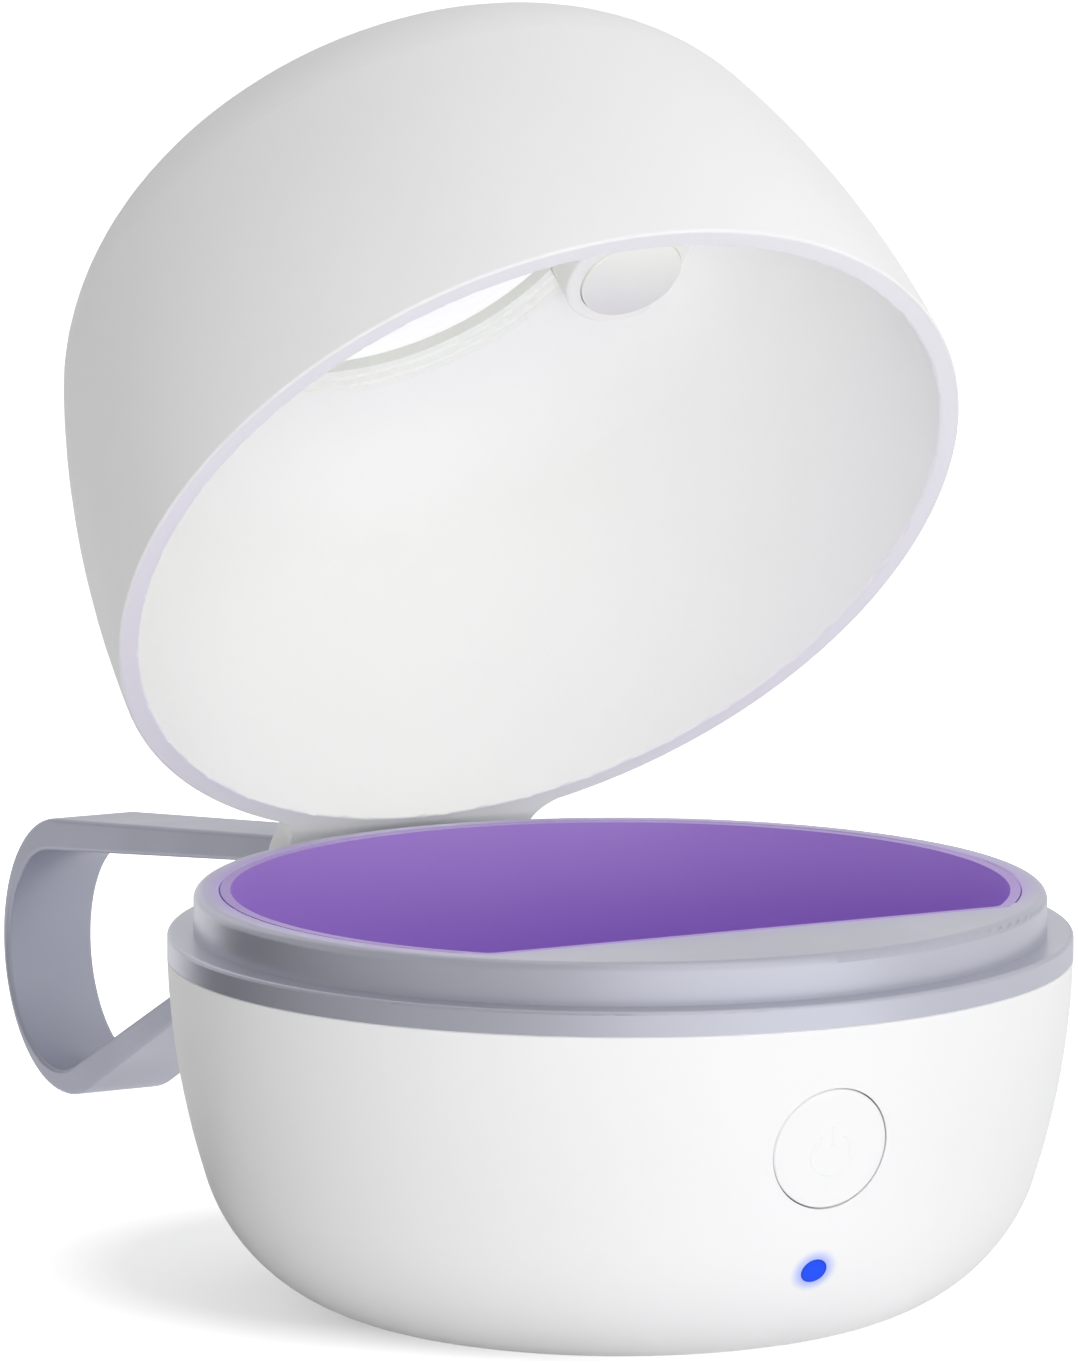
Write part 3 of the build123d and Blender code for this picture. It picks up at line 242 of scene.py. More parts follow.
first = add(tree, "ShaderNodeCombineXYZ", {"X": given["Chip Half"], "Y": row_start,
                                           "Z": row_low}).outputs[0]
step = add(tree, "ShaderNodeCombineXYZ", {"Y": given["Pitch"]}).outputs[0]
row = add(tree, "GeometryNodeMeshLine", {"Count": given["Legs"], "Start Location": first,
                                         "Offset": step}).outputs[0]
one_side = add(tree, "GeometryNodeInstanceOnPoints", {"Points": row, "Instance": leg}).outputs[0]
sides, side_turn = ring_points(tree, count=4, radius=0.0, start=0.0, height=0.0)
round_chip = add(tree, "GeometryNodeInstanceOnPoints", {"Points": sides, "Instance": one_side,
                                                        "Rotation": side_turn}).outputs[0]
chip_left = add(tree, "ShaderNodeMath", {0: given["Chip Spread"], 1: -0.5}, operation="MULTIPLY").outputs[0]
chip_spot = add(tree, "ShaderNodeCombineXYZ", {"X": chip_left, "Y": given["Chip Back"],
                                               "Z": given["Board Top"]}).outputs[0]
chip_step = add(tree, "ShaderNodeCombineXYZ", {"X": given["Chip Spread"]}).outputs[0]
chips = add(tree, "GeometryNodeMeshLine", {"Count": 2, "Start Location": chip_spot,
                                           "Offset": chip_step}).outputs[0]
rows = add(tree, "GeometryNodeInstanceOnPoints", {"Points": chips, "Instance": round_chip}).outputs[0]
made_piece("chip_legs", tree, sizes, rows, tinned, "base")

resistor_paste = moulded("resistor_ceramic", "#3A3D42", "#2B2D31", patch=1 * mm, grain=0.1 * mm,
                         relief=0.004 * mm, dull=0.55, bright=0.45, IOR=1.6)
sizes = {"Count": 14, "Circle Radius": 13.5 * mm, "Board Top": board_top, "Length": 1.6 * mm,
         "Width": 0.8 * mm, "Height": 0.5 * mm}
tree, given = sized_tree("resistor_ring", sizes)
body_size = add(tree, "ShaderNodeCombineXYZ", {"X": given["Length"], "Y": given["Width"],
                                               "Z": given["Height"]}).outputs[0]
body = add(tree, "GeometryNodeMeshCube", {"Size": body_size}).outputs[0]
half_up = add(tree, "ShaderNodeMath", {0: given["Height"], 1: 0.5, 2: given["Board Top"]},
              operation="MULTIPLY_ADD").outputs[0]
spots, turned = ring_points(tree, given["Count"], given["Circle Radius"], start=0.2, height=half_up)
grade = add(tree, "FunctionNodeRandomValue", {"Min": (0.75, 0.75, 0.9), "Max": (1.1, 1.0, 1.0), "Seed": 7},
            data_type="FLOAT_VECTOR").outputs[0]
resistors = add(tree, "GeometryNodeInstanceOnPoints", {"Points": spots, "Instance": body,
                                                       "Rotation": turned, "Scale": grade}).outputs[0]
made_piece("board_resistors", tree, sizes, resistors, resistor_paste, "base")

# ---- charging port ----------------------------------------------------------------------------------
# A drawn steel shell round a black tongue, with twelve gold-plated contacts on each of its faces.
tongue_low, tongue_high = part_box("port_tongue")
gold = moulded("gold_plate", "#E8C36A", "#DDB65C", patch=1 * mm, grain=0.08 * mm,
               relief=0.001 * mm, dull=0.34, bright=0.29, Metallic=1.0)
contact_pitch = 0.5 * mm
sizes = {"Contacts": 12, "Pitch": contact_pitch, "Contact Width": 0.26 * mm, "Contact Length": 4.1 * mm,
         "Plating": 0.04 * mm, "Tongue Back": tongue_low.y, "Tongue Low": tongue_low.z,
         "Tongue High": tongue_high.z}
tree, given = sized_tree("contact_rows", sizes)
strip_size = add(tree, "ShaderNodeCombineXYZ", {"X": given["Contact Width"], "Y": given["Contact Length"],
                                                "Z": given["Plating"]}).outputs[0]
strip = add(tree, "GeometryNodeMeshCube", {"Size": strip_size}).outputs[0]
strip_y = add(tree, "ShaderNodeMath", {0: given["Contact Length"], 1: 0.5, 2: given["Tongue Back"]},
              operation="MULTIPLY_ADD").outputs[0]
row_x = add(tree, "ShaderNodeMath", {0: given["Contacts"], 1: -contact_pitch / 2, 2: contact_pitch / 2},
            operation="MULTIPLY_ADD").outputs[0]
step = add(tree, "ShaderNodeCombineXYZ", {"X": given["Pitch"]}).outputs[0]
faces = []
for face in ("Tongue Low", "Tongue High"):
    first = add(tree, "ShaderNodeCombineXYZ", {"X": row_x, "Y": strip_y, "Z": given[face]}).outputs[0]
    row = add(tree, "GeometryNodeMeshLine", {"Count": given["Contacts"], "Start Location": first,
                                             "Offset": step}).outputs[0]
    faces.append(add(tree, "GeometryNodeInstanceOnPoints", {"Points": row, "Instance": strip}).outputs[0])
both_faces = add(tree, "GeometryNodeJoinGeometry", {"Geometry": faces[0]})
tree.links.new(faces[1], both_faces.inputs["Geometry"])
made_piece("port_contacts", tree, sizes, both_faces.outputs[0], gold, "base")

# ---- indicator --------------------------------------------------------------------------------------
# A clear acrylic light guide, flush with the bowl's skin, lit blue from the board behind it. Towards
# its edge less of the light comes out, so it ends in a thin deeper blue line.
edge_start, edge_end = 1.12 * mm, 1.45 * mm
material, tree, principled, place = finish("lit_acrylic", IOR=1.49, Emission_Strength=0.90,
                                           Base_Color=linear("#04103C"), Roughness=0.4,
                                           Specular_IOR_Level=0.15)
away = add(tree, "ShaderNodeVectorMath", {0: place, 1: guide_centre}, operation="DISTANCE")
edge = add(tree, "ShaderNodeMapRange", {"Value": away.outputs["Value"], "From Min": edge_start,
                                        "From Max": edge_end})
inner_glow = add(tree, "ShaderNodeTexNoise", {"Vector": place, "Scale": 1 / (2 * mm), "Detail": 1.0})
blue = add(tree, "ShaderNodeMix", {"Factor": inner_glow.outputs["Fac"], "A": linear("#004AFF"),
                                   "B": linear("#0650FF")}, data_type="RGBA")
rimmed = add(tree, "ShaderNodeMix", {"Factor": edge.outputs["Result"], "A": blue.outputs["Result"],
                                     "B": linear("#1440CE")}, data_type="RGBA")
tree.links.new(rimmed.outputs["Result"], principled.inputs["Emission Color"])
wear(material, "indicator_guide", "indicator_led")

# ---- push button ------------------------------------------------------------------------------------
# The same white ABS as the bowl, moulded apart. A plain power sign, a broken ring and a bar, stands
# on it as a hair-fine ridge in the same white, so it shows only by its shade.
white_abs = moulded("white_abs", white_pale, white_deep, white_patch, white_grain, white_relief,
                    white_dull, white_bright, IOR=1.53, Specular_IOR_Level=0.42)
wear(white_abs, "power_button")

sign_radius, sign_gap, sign_drop = 2.3 * mm, math.radians(34), 0.5 * mm
bar_low, bar_high = 0.9 * mm, 3.0 * mm
# The ridge's cross-section in millimetres: across it, and out of the skin.
ridge = [(-0.19, -0.03), (-0.15, 0.025), (-0.06, 0.045), (0.06, 0.045), (0.15, 0.025), (0.19, -0.03)]
button_height, skin_y, ray_start = 25.3 * mm, -46.6 * mm, 5 * mm
inward = next(Vector(joint["axis"]) for joint in frame["record"]["behaviour"]["joints"]
              if joint["name"] == "power_button_press")
upward = Vector((1, 0, 0)).cross(-inward).normalized()
if upward.z < 0:
    upward = -upward
button_mesh = frame["nodes"]["power_button"].data
button_skin = BVHTree.FromPolygons([corner.co.copy() for corner in button_mesh.vertices],
                                   [face.vertices[:] for face in button_mesh.polygons])


def on_button(across, up, out):
    """A point on the button's skin, from its place seen square on, and its height above the skin."""
    eye = Vector((across, skin_y, button_height)) + (up - sign_drop) * upward - ray_start * inward
    return button_skin.ray_cast(eye, inward)[0] - out * inward


def ridge_along(mesh, path):
    """A closed ridge with a rounded back along a path of (across, up) points."""
    rings = []
    for i, (x, z) in enumerate(path):
        ahead, behind = path[min(i + 1, len(path) - 1)], path[max(i - 1, 0)]
        run = Vector((ahead[0] - behind[0], ahead[1] - behind[1])).normalized()
        rings.append([mesh.verts.new(on_button(x + side * mm * run.y, z - side * mm * run.x, out * mm))
                      for side, out in ridge])
    for here, there in zip(rings, rings[1:]):
        for k in range(len(ridge)):
            after = (k + 1) % len(ridge)
            mesh.faces.new((here[k], here[after], there[after], there[k]))
    mesh.faces.new(rings[0])
    mesh.faces.new(rings[-1])


sign_shape = bmesh.new()
arc_steps = 72
swing = [math.pi / 2 + sign_gap + (math.tau - 2 * sign_gap) * i / arc_steps for i in range(arc_steps + 1)]
ridge_along(sign_shape, [(sign_radius * math.cos(turn), sign_radius * math.sin(turn)) for turn in swing])
bar_steps = 12
ridge_along(sign_shape, [(0, bar_low + (bar_high - bar_low) * i / bar_steps) for i in range(bar_steps + 1)])
bmesh.ops.recalc_face_normals(sign_shape, faces=sign_shape.faces)
sign_mesh = bpy.data.meshes.new("power_sign")
sign_shape.to_mesh(sign_mesh)
sign_shape.free()
sign_mesh.materials.append(white_abs)
sign_mesh.shade_smooth()
power_sign = bpy.data.objects.new("power_sign", sign_mesh)
bpy.context.scene.collection.objects.link(power_sign)
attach(power_sign, "button")

# ---- lamp -------------------------------------------------------------------------------------------
# Four emitters in white ceramic under clear silicone domes, behind a polished quartz window. Quartz
# passes the violet and looks like clear glass, a little less bright in its reflections.
ceramic = moulded("emitter_ceramic", "#EFE9D8", "#E6DFCB", patch=2 * mm, grain=0.2 * mm,
                  relief=0.004 * mm, dull=0.40, bright=0.30,
                  IOR=1.6, Emission_Strength=0.8, Emission_Color=linear("#8A5CFF"))
wear(ceramic, "uv_emitters")
dome_silicone, tree, principled, place = finish("clear_silicone", IOR=1.41, Transmission_Weight=1.0,
                                                Base_Color=linear("#FBF8FF"))
haze = add(tree, "ShaderNodeTexNoise", {"Vector": place, "Scale": 1 / (1 * mm), "Detail": 1.0})
cloud = add(tree, "ShaderNodeMapRange", {"Value": haze.outputs["Fac"], "To Min": 0.05, "To Max": 0.12})
tree.links.new(cloud.outputs["Result"], principled.inputs["Roughness"])
emitter_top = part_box("uv_emitters")[1].z
dome_sink = 0.5 * mm
sizes = {"Emitters": 4, "Circle Radius": 3.8 * mm, "Dome Radius": 1.27 * mm, "Dome Height": 0.9 * mm,
         "Dome Foot": emitter_top - dome_sink, "Lower Half Left": 0.05}
tree, given = sized_tree("emitter_dome_set", sizes)
ball = add(tree, "GeometryNodeMeshUVSphere", {"Segments": 32, "Rings": 16, "Radius": given["Dome Radius"]})
flatten = add(tree, "ShaderNodeMath", {0: given["Dome Height"], 1: given["Dome Radius"]},
              operation="DIVIDE").outputs[0]
place_now = add(tree, "GeometryNodeInputPosition").outputs[0]
parts = add(tree, "ShaderNodeSeparateXYZ", {"Vector": place_now}).outputs
lower = add(tree, "ShaderNodeMath", {0: parts["Z"], 1: 0.0}, operation="LESS_THAN").outputs[0]
upper_scale = add(tree, "ShaderNodeMix", {"Factor": lower, "A": flatten, "B": given["Lower Half Left"]},
                  data_type="FLOAT").outputs[0]
new_z = add(tree, "ShaderNodeMath", {0: parts["Z"], 1: upper_scale}, operation="MULTIPLY").outputs[0]
pressed = add(tree, "ShaderNodeCombineXYZ", {"X": parts["X"], "Y": parts["Y"], "Z": new_z}).outputs[0]
dome = add(tree, "GeometryNodeSetPosition", {"Geometry": ball.outputs["Mesh"],
                                             "Position": pressed}).outputs[0]
smooth_dome = add(tree, "GeometryNodeSetShadeSmooth", {"Geometry": dome}).outputs[0]
spots = ring_points(tree, given["Emitters"], given["Circle Radius"], start=math.pi / 4,
                    height=given["Dome Foot"])[0]
domes = add(tree, "GeometryNodeInstanceOnPoints", {"Points": spots, "Instance": smooth_dome}).outputs[0]
made_piece("emitter_domes", tree, sizes, domes, dome_silicone, "base")

material, tree, principled, place = finish("polished_quartz", IOR=1.458, Transmission_Weight=1.0,
                                           Base_Color=linear("#FCFCFF"))
ripple = add(tree, "ShaderNodeTexNoise", {"Vector": place, "Scale": 1 / (4 * mm), "Detail": 1.0})
clear = add(tree, "ShaderNodeMapRange", {"Value": ripple.outputs["Fac"], "To Min": 0.01,
                                         "To Max": 0.04})
tree.links.new(clear.outputs["Result"], principled.inputs["Roughness"])
wear(material, "lamp_window")

# ---- chamber liner ----------------------------------------------------------------------------------
# The treatment chamber: a smooth D-shaped cup in pale ABS, welded under the ring. Its violet colour
# and its glow are painted light from the emitters, strongest on the floor and fading up the wall.
lamp_centre = Vector((0, 0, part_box("window_seal")[1].z))
painted_glow_near, painted_glow_far, painted_glow_far_share = 8 * mm, 50 * mm, 0.4
material, tree, principled, place = finish("painted_violet_glow_abs", IOR=1.53, Emission_Strength=0.29)
skin = mottle(tree, place, "#9E83B9", "#9A7FB5", patch=18 * mm)
tree.links.new(skin, principled.inputs["Base Color"])
# Painted violet glow: strongest near the lamp, fading with distance from it.
away = add(tree, "ShaderNodeVectorMath", {0: place, 1: lamp_centre}, operation="DISTANCE")
painted_glow_fading = add(tree, "ShaderNodeMapRange", {"Value": away.outputs["Value"], "From Min": painted_glow_near,
                                          "From Max": painted_glow_far, "To Min": 1.0,
                                          "To Max": painted_glow_far_share})
glow = add(tree, "ShaderNodeMix", {"Factor": painted_glow_fading.outputs["Result"], "A": linear("#000000"),
                                   "B": linear("#9A55FF")}, data_type="RGBA")
tree.links.new(glow.outputs["Result"], principled.inputs["Emission Color"])
grained(tree, principled, place, grain=0.5 * mm, relief=0.002 * mm, dull=0.36, bright=0.30)
wear(material, "chamber_liner")

# ---- ring -------------------------------------------------------------------------------------------
# Flange, lip, front shelf and hinge lug in one moulding: ABS with a silver flake pigment, from a
# polished mould. It mirrors its surroundings softly, dark on one side and pale on the other. Round
# the mouth the chamber's violet light is painted into the lip's top edge as a lilac tint.
silver_pale, silver_deep, silver_metal = "#C3C4D0", "#BEC0CC", 0.62
mouth_start, mouth_end, mouth_painted_violet = 42.6 * mm, 45.0 * mm, 0.8
painted_violet_front, painted_violet_back = -34 * mm, -20 * mm
lip_foot, lip_top = 44.2 * mm, 45.2 * mm
ring_abs, tree, principled, place = finish("silver_abs", IOR=1.53, Metallic=silver_metal)
skin = mottle(tree, place, silver_pale, silver_deep, patch=24 * mm)
across = add(tree, "ShaderNodeVectorMath", {0: place, 1: (1.0, 1.0, 0.0)}, operation="MULTIPLY")
radius = add(tree, "ShaderNodeVectorMath", {0: across.outputs[0]}, operation="LENGTH").outputs["Value"]
spot = add(tree, "ShaderNodeSeparateXYZ", {"Vector": place}).outputs
# Painted violet light: lilac mixed into the colour near the mouth, on the lip's top, behind the front
# shelf.
near_mouth = add(tree, "ShaderNodeMapRange", {"Value": radius, "From Min": mouth_start,
                                              "From Max": mouth_end, "To Min": mouth_painted_violet,
                                              "To Max": 0.0})
behind_shelf = add(tree, "ShaderNodeMapRange", {"Value": spot["Y"], "From Min": painted_violet_front,
                                                "From Max": painted_violet_back})
on_top = add(tree, "ShaderNodeMapRange", {"Value": spot["Z"], "From Min": lip_foot,
                                          "From Max": lip_top})
painted_violet_amount = add(tree, "ShaderNodeMath", {0: near_mouth.outputs["Result"], 1: behind_shelf.outputs["Result"]},
             operation="MULTIPLY").outputs[0]
painted_violet_amount = add(tree, "ShaderNodeMath", {0: painted_violet_amount, 1: on_top.outputs["Result"]},
             operation="MULTIPLY").outputs[0]
painted_violet_mix = add(tree, "ShaderNodeMix", {"Factor": painted_violet_amount, "A": skin, "B": linear("#B79BE6")},
             data_type="RGBA")
tree.links.new(painted_violet_mix.outputs["Result"], principled.inputs["Base Color"])
grained(tree, principled, place, grain=0.3 * mm, relief=0.002 * mm, dull=0.33, bright=0.29)
wear(ring_abs, "base_ring")

# ---- fasteners, pins, port and magnets --------------------------------------------------------------
# Nickel-plated steel, drawn or turned. The screws are self-tapping, with a rolled thread.
nickel = moulded("nickel_plated_steel", "#C8C6C2", "#B6B4B0", patch=2 * mm, grain=0.15 * mm,
                 relief=0.003 * mm, dull=0.34, bright=0.29, Metallic=1.0)
wear(nickel, "lamp_screws", "board_screws", "case_screws", "hinge_pin", "handle_pin",
     "charging_port", "catch_magnet", "lid_magnet")


def threads(name, count, circle, start, foot, length, screw, pitch):
    """Rolled threads on equal screws round the main axis: a spiral wire, half sunk in each shank."""
    crest_per_pitch = 0.22
    sizes = {"Count": count, "Circle Radius": circle, "First Angle": start, "Thread Foot": foot,
             "Thread Length": length, "Shank Radius": screw, "Pitch": pitch,
             "Crest": crest_per_pitch * pitch}
    tree, given = sized_tree(name + "_tree", sizes)
    turns = add(tree, "ShaderNodeMath", {0: given["Thread Length"], 1: given["Pitch"]},
                operation="DIVIDE").outputs[0]
    wire = add(tree, "GeometryNodeCurveSpiral", {"Resolution": 20, "Rotations": turns,
                                                 "Start Radius": given["Shank Radius"],
                                                 "End Radius": given["Shank Radius"],
                                                 "Height": given["Thread Length"]}).outputs[0]
    bead = add(tree, "GeometryNodeCurvePrimitiveCircle", {"Resolution": 6, "Radius": given["Crest"]})
    coil = add(tree, "GeometryNodeCurveToMesh", {"Curve": wire, "Profile Curve": bead.outputs["Curve"],
                                                 "Fill Caps": True}).outputs[0]
    spots, turned = ring_points(tree, given["Count"], given["Circle Radius"], given["First Angle"],
                                given["Thread Foot"])
    coils = add(tree, "GeometryNodeInstanceOnPoints", {"Points": spots, "Instance": coil,
                                                       "Rotation": turned}).outputs[0]
    made_piece(name, tree, sizes, coils, nickel, "base")


threads("case_screw_threads", count=3, circle=19.2 * mm, start=math.pi / 2, foot=6.2 * mm,
        length=5.6 * mm, screw=1.25 * mm, pitch=0.9 * mm)
threads("board_screw_threads", count=3, circle=29.0 * mm, start=math.pi / 6, foot=5.6 * mm,
        length=4.3 * mm, screw=1.0 * mm, pitch=0.75 * mm)
threads("lamp_screw_threads", count=2, circle=10.2 * mm, start=0.0, foot=16.1 * mm,
        length=2.5 * mm, screw=0.8 * mm, pitch=0.6 * mm)

# ---- hinge washers ----------------------------------------------------------------------------------
# Turned acetal: waxy white, slippery, low gloss.
acetal = moulded("acetal", "#E8E8E4", "#E0E0DB", patch=2 * mm, grain=0.2 * mm,
                 relief=0.003 * mm, dull=0.48, bright=0.40, IOR=1.48)
wear(acetal, "hinge_washers")

# ---- carrying loop ----------------------------------------------------------------------------------
# A flat band moulded in flexible plastic with a silver pigment like the ring's, a little darker.
strap_tpu = moulded("silver_tpu", "#ACAEBD", "#A7A9B9", patch=20 * mm, grain=0.3 * mm,
                    relief=0.005 * mm, dull=0.40, bright=0.34, IOR=1.50, Metallic=0.4)
wear(strap_tpu, "handle_loop")

# ---- lid --------------------------------------------------------------------------------------------
# Dome, trim ring and plug are the same white ABS as the bowl. The inside of the dome and trim ring
# is made paler by a painted glow, standing in for daylight coming through the thin wall.
dome_low, dome_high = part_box("lid_shell")
painted_glow_start, painted_glow_full = 0.0, -0.3
dome_abs, tree, principled, place = finish("white_abs_dome", IOR=1.53, Specular_IOR_Level=0.42,
                                           Emission_Strength=0.095)
tree.links.new(mottle(tree, place, white_pale, white_deep, white_patch), principled.inputs["Base Color"])
outward = add(tree, "ShaderNodeVectorMath", {0: place, 1: (dome_low + dome_high) / 2},
              operation="SUBTRACT").outputs[0]
outward = add(tree, "ShaderNodeVectorMath", {0: outward}, operation="NORMALIZE").outputs[0]
faced = add(tree, "ShaderNodeTexCoord").outputs["Normal"]
outside = add(tree, "ShaderNodeVectorMath", {0: faced, 1: outward},
              operation="DOT_PRODUCT").outputs["Value"]
# Painted glow on the faces that look inward.
painted_inside_glow = add(tree, "ShaderNodeMapRange", {"Value": outside, "From Min": painted_glow_start,
                                           "From Max": painted_glow_full})
painted_daylight = add(tree, "ShaderNodeMix", {"Factor": painted_inside_glow.outputs["Result"], "A": linear("#000000"),
                                       "B": linear("#F3FFC8")}, data_type="RGBA")
tree.links.new(painted_daylight.outputs["Result"], principled.inputs["Emission Color"])
grained(tree, principled, place, white_grain, white_relief, white_dull, white_bright)
wear(dome_abs, "lid_shell", "window_ring")

# The plug stands in the boss's mouth. A painted glow makes its upper edge lighter than its lower one.
plug_low, plug_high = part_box("boss_plug")
plug_abs, tree, principled, place = finish("white_abs_plug", IOR=1.53, Specular_IOR_Level=0.42,
                                           Emission_Strength=0.25)
tree.links.new(mottle(tree, place, "#EBEBEA", "#E8E8E7", white_patch), principled.inputs["Base Color"])
height = add(tree, "ShaderNodeSeparateXYZ", {"Vector": place}).outputs["Z"]
painted_upper_light = add(tree, "ShaderNodeMapRange", {"Value": height, "From Min": plug_low.z, "From Max": plug_high.z})
painted_daylight = add(tree, "ShaderNodeMix", {"Factor": painted_upper_light.outputs["Result"], "A": linear("#000000"),
                                       "B": linear("#F6FFD8")}, data_type="RGBA")
tree.links.new(painted_daylight.outputs["Result"], principled.inputs["Emission Color"])
grained(tree, principled, place, white_grain, white_relief, white_dull, white_bright)
wear(plug_abs, "boss_plug")

# ---- crown window -----------------------------------------------------------------------------------
# Injection-moulded polycarbonate, polished and clear, bonded into the dome behind its trim ring.
material, tree, principled, place = finish("clear_polycarbonate", IOR=1.585, Transmission_Weight=1.0,
                                           Base_Color=linear("#FFFFFF"), Specular_IOR_Level=0.2)
flow = add(tree, "ShaderNodeTexNoise", {"Vector": place, "Scale": 1 / (15 * mm), "Detail": 1.0})
polish = add(tree, "ShaderNodeMapRange", {"Value": flow.outputs["Fac"], "To Min": 0.01, "To Max": 0.03})
tree.links.new(polish.outputs["Result"], principled.inputs["Roughness"])
wear(material, "crown_window")

# ---- studio -----------------------------------------------------------------------------------------
# A white table, clear from below, that runs out of sight, and a soft white surround. A low strip light
# in front looks into the open lid, and softboxes stand in front, at the right, behind and overhead.
# Gloss shows not the lamps but white cards in front and behind, and a dark one at the back left.
floor_half, table_sink = 6.0, 0.02 * mm
# The table's own brightness is least round a point behind the case's middle, where its shadow is: a painted
# shade that deepens the shadow there.
near_lift, far_lift = 0.39, 0.86
lift_start, lift_end = 31 * mm, 55 * mm
shade_middle = Vector((-10, 30, 0)) * mm
floor_mesh = bpy.data.meshes.new("table")
table_corners = [(-floor_half, -floor_half), (floor_half, -floor_half), (floor_half, floor_half),
                 (-floor_half, floor_half)]
floor_mesh.from_pydata([(x, y, -table_sink) for x, y in table_corners], [], [(0, 1, 2, 3)])
table = bpy.data.objects.new("table", floor_mesh)
bpy.context.scene.collection.objects.link(table)
table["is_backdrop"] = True


def seen(tree):
    """1 where the surface or surround is seen, by eye or in gloss or glass; 0 where it lights."""
    ray = add(tree, "ShaderNodeLightPath")
    by_gloss = add(tree, "ShaderNodeMath", {0: ray.outputs["Is Camera Ray"],
                                            1: ray.outputs["Is Glossy Ray"]}, operation="MAXIMUM")
    by_glass = add(tree, "ShaderNodeMath", {0: by_gloss.outputs["Value"],
                                            1: ray.outputs["Is Transmission Ray"]},
                   operation="MAXIMUM")
    return by_glass.outputs["Value"]


# Brightness of the surround as gloss shows it, by turns round from the left side, past the front.
cards_brightest = 1.4
cards = ((0.0, 0.34), (0.09, 0.52), (0.14, 0.62), (0.19, 1.0), (0.24, 1.25), (0.33, 1.38), (0.375, 0.95),
         (0.60, 0.84), (0.70, 1.12), (0.80, 1.05), (0.84, 0.05), (0.89, 0.05), (1.0, 0.34))


def card_light(tree, direction, darkest):
    """How bright the surround's cards are in a direction from the case, and at least the darkest."""
    turn = add(tree, "ShaderNodeTexGradient", {"Vector": direction}, gradient_type="RADIAL")
    ramp = add(tree, "ShaderNodeValToRGB", {"Fac": turn.outputs["Fac"]})
    stops = ramp.color_ramp.elements
    while len(stops) < len(cards):
        stops.new(0.5)
    for stop, (where, bright) in zip(stops, cards):
        stop.position = where
        stop.color = [bright / cards_brightest] * 3 + [1.0]
    bright = add(tree, "ShaderNodeMath", {0: ramp.outputs["Color"], 1: cards_brightest},
                 operation="MULTIPLY").outputs[0]
    return add(tree, "ShaderNodeMath", {0: bright, 1: darkest}, operation="MAXIMUM").outputs[0]


table_white = bpy.data.materials.new("table_white")
table_white.use_nodes = True
tree = table_white.node_tree
tree.nodes.clear()
matt = add(tree, "ShaderNodeBsdfDiffuse", {"Color": linear("#F0F0F0")})
place = add(tree, "ShaderNodeTexCoord").outputs["Object"]
distance = add(tree, "ShaderNodeVectorMath", {0: place, 1: shade_middle},
               operation="DISTANCE").outputs["Value"]
lift = add(tree, "ShaderNodeMapRange", {"Value": distance, "From Min": lift_start, "From Max": lift_end,
                                        "To Min": near_lift, "To Max": far_lift}).outputs["Result"]
glow = add(tree, "ShaderNodeEmission", {"Strength": lift})
dark = add(tree, "ShaderNodeEmission", {"Strength": 0.0})
choose = add(tree, "ShaderNodeMixShader", {0: seen(tree), 1: dark.outputs[0], 2: glow.outputs[0]})
both = add(tree, "ShaderNodeAddShader", {0: matt.outputs[0], 1: choose.outputs[0]})
in_gloss = add(tree, "ShaderNodeEmission", {"Strength": card_light(tree, place, darkest=0.0)})
ray = add(tree, "ShaderNodeLightPath")
shown = add(tree, "ShaderNodeMixShader", {0: ray.outputs["Is Glossy Ray"], 1: both.outputs[0],
                                          2: in_gloss.outputs[0]})
below = add(tree, "ShaderNodeNewGeometry").outputs["Backfacing"]
clear = add(tree, "ShaderNodeBsdfTransparent")
one_sided = add(tree, "ShaderNodeMixShader", {0: below, 1: shown.outputs[0], 2: clear.outputs[0]})
add(tree, "ShaderNodeOutputMaterial", {"Surface": one_sided.outputs[0]})
floor_mesh.materials.append(table_white)

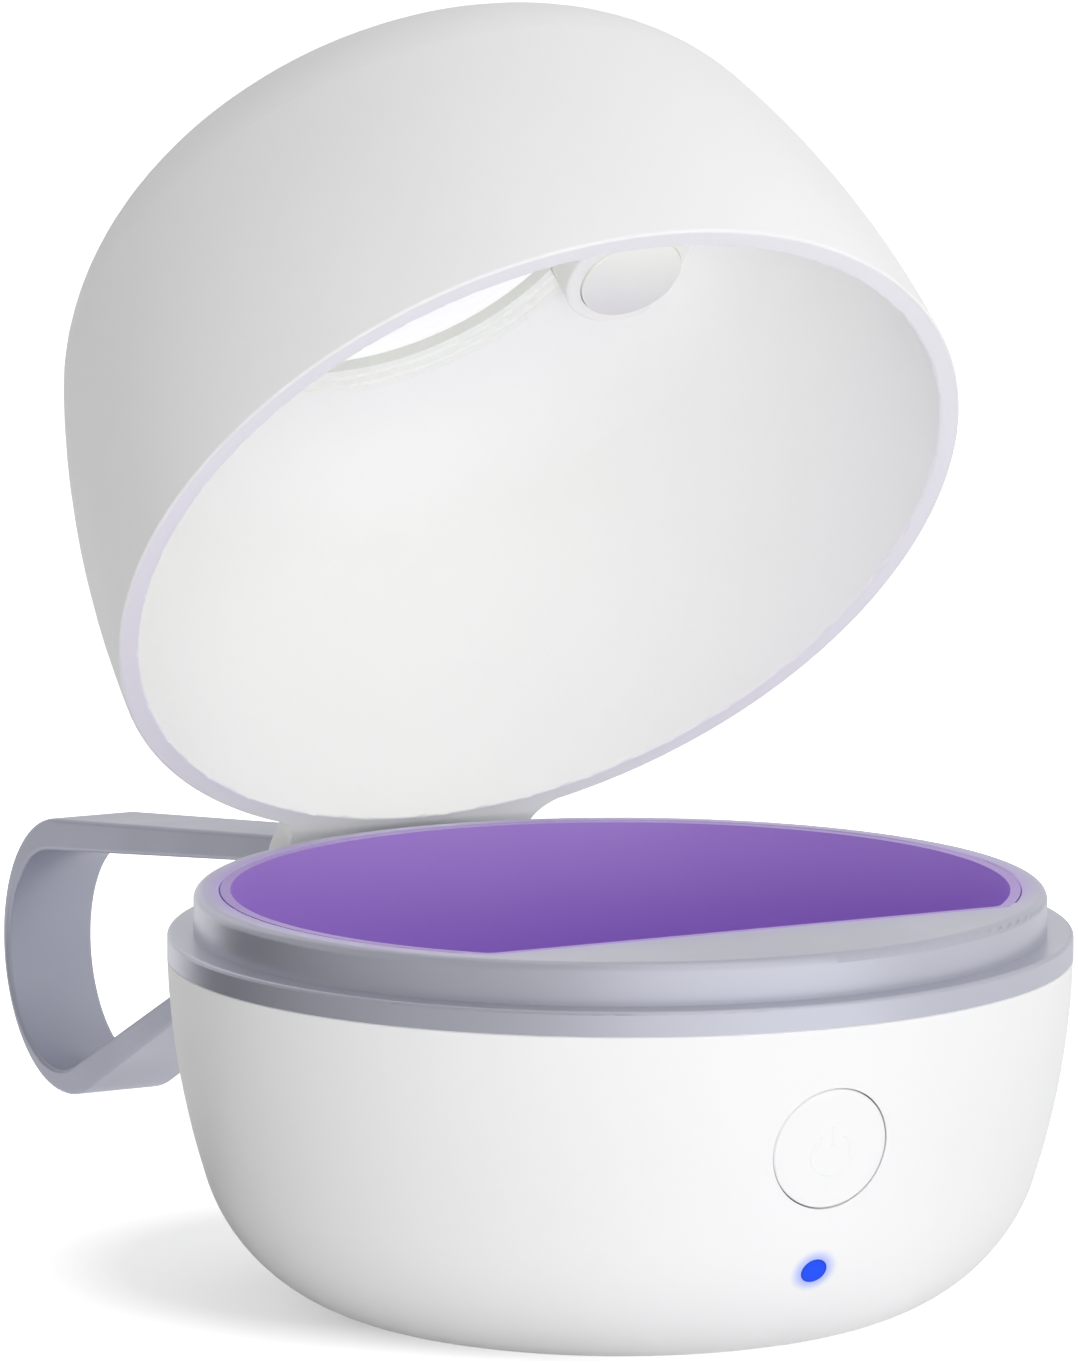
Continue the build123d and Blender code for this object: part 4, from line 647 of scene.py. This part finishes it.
ambient_strength, backdrop_strength = 0.38, 1.0
world = bpy.data.worlds.new("surround")
bpy.context.scene.world = world
world.use_nodes = True
tree = world.node_tree
tree.nodes.clear()
ambient = add(tree, "ShaderNodeBackground", {"Color": linear("#FFFFFF"),
                                                "Strength": ambient_strength})
backdrop = add(tree, "ShaderNodeBackground", {"Color": linear("#FFFFFF"),
                                                 "Strength": backdrop_strength})
choose = add(tree, "ShaderNodeMixShader", {0: seen(tree), 1: ambient.outputs[0],
                                           2: backdrop.outputs[0]})
sky = add(tree, "ShaderNodeTexCoord").outputs["Generated"]
in_gloss = add(tree, "ShaderNodeBackground", {"Strength": card_light(tree, sky, darkest=0.5)})
ray = add(tree, "ShaderNodeLightPath")
shown = add(tree, "ShaderNodeMixShader", {0: ray.outputs["Is Glossy Ray"], 1: choose.outputs[0],
                                          2: in_gloss.outputs[0]})
add(tree, "ShaderNodeOutputWorld", {"Surface": shown.outputs[0]})

case_middle = Vector((0, 0, 0.06))


def softbox(name, azimuth, elevation, distance, width, height, watts):
    """A lamp that faces the case, placed in degrees round from the front, to the right, and up."""
    turn, rise = math.radians(azimuth), math.radians(elevation)
    lamp = bpy.data.lights.new(name, "AREA")
    lamp.shape = "RECTANGLE"
    lamp.size = width
    lamp.size_y = height
    lamp.energy = watts
    stand = bpy.data.objects.new(name, lamp)
    away = Vector((math.sin(turn) * math.cos(rise), -math.cos(turn) * math.cos(rise), math.sin(rise)))
    stand.location = case_middle + distance * away
    stand.rotation_euler = (-away).to_track_quat("-Z", "Y").to_euler()
    stand.visible_glossy = False
    bpy.context.scene.collection.objects.link(stand)


softbox("front_strip", azimuth=-28, elevation=3, distance=1.0, width=0.6, height=0.20, watts=3.6)
softbox("key_softbox", azimuth=17, elevation=15, distance=1.3, width=0.9, height=0.7, watts=2.6)
softbox("side_softbox", azimuth=62, elevation=20, distance=1.3, width=0.8, height=0.8, watts=2.5)
softbox("back_softbox", azimuth=107, elevation=30, distance=1.3, width=0.8, height=0.8, watts=4.2)
softbox("top_softbox", azimuth=0, elevation=80, distance=1.3, width=0.8, height=0.8, watts=2.7)

# The camera stands where the photographer's stood, worked out from the case's outline and hinge.
camera_place = Vector((-536.9, -1019.2, 247.1)) * mm
camera_look = Vector((0.4550, 0.8771, -0.1543))
camera_data = bpy.data.cameras.new("camera")
camera_data.sensor_width = 36
camera_data.lens = 291.9
camera_data.shift_x = -0.0093
camera_data.shift_y = 0.0016
camera = bpy.data.objects.new("camera", camera_data)
camera.location = camera_place
camera.rotation_euler = camera_look.to_track_quat("-Z", "Y").to_euler()
bpy.context.scene.collection.objects.link(camera)
bpy.context.scene.camera = camera
bpy.context.scene.view_settings.view_transform = "Standard"

sizes = {"cad": [list(corner) for corner in cad_box], "scene": [list(corner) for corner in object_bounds()]}
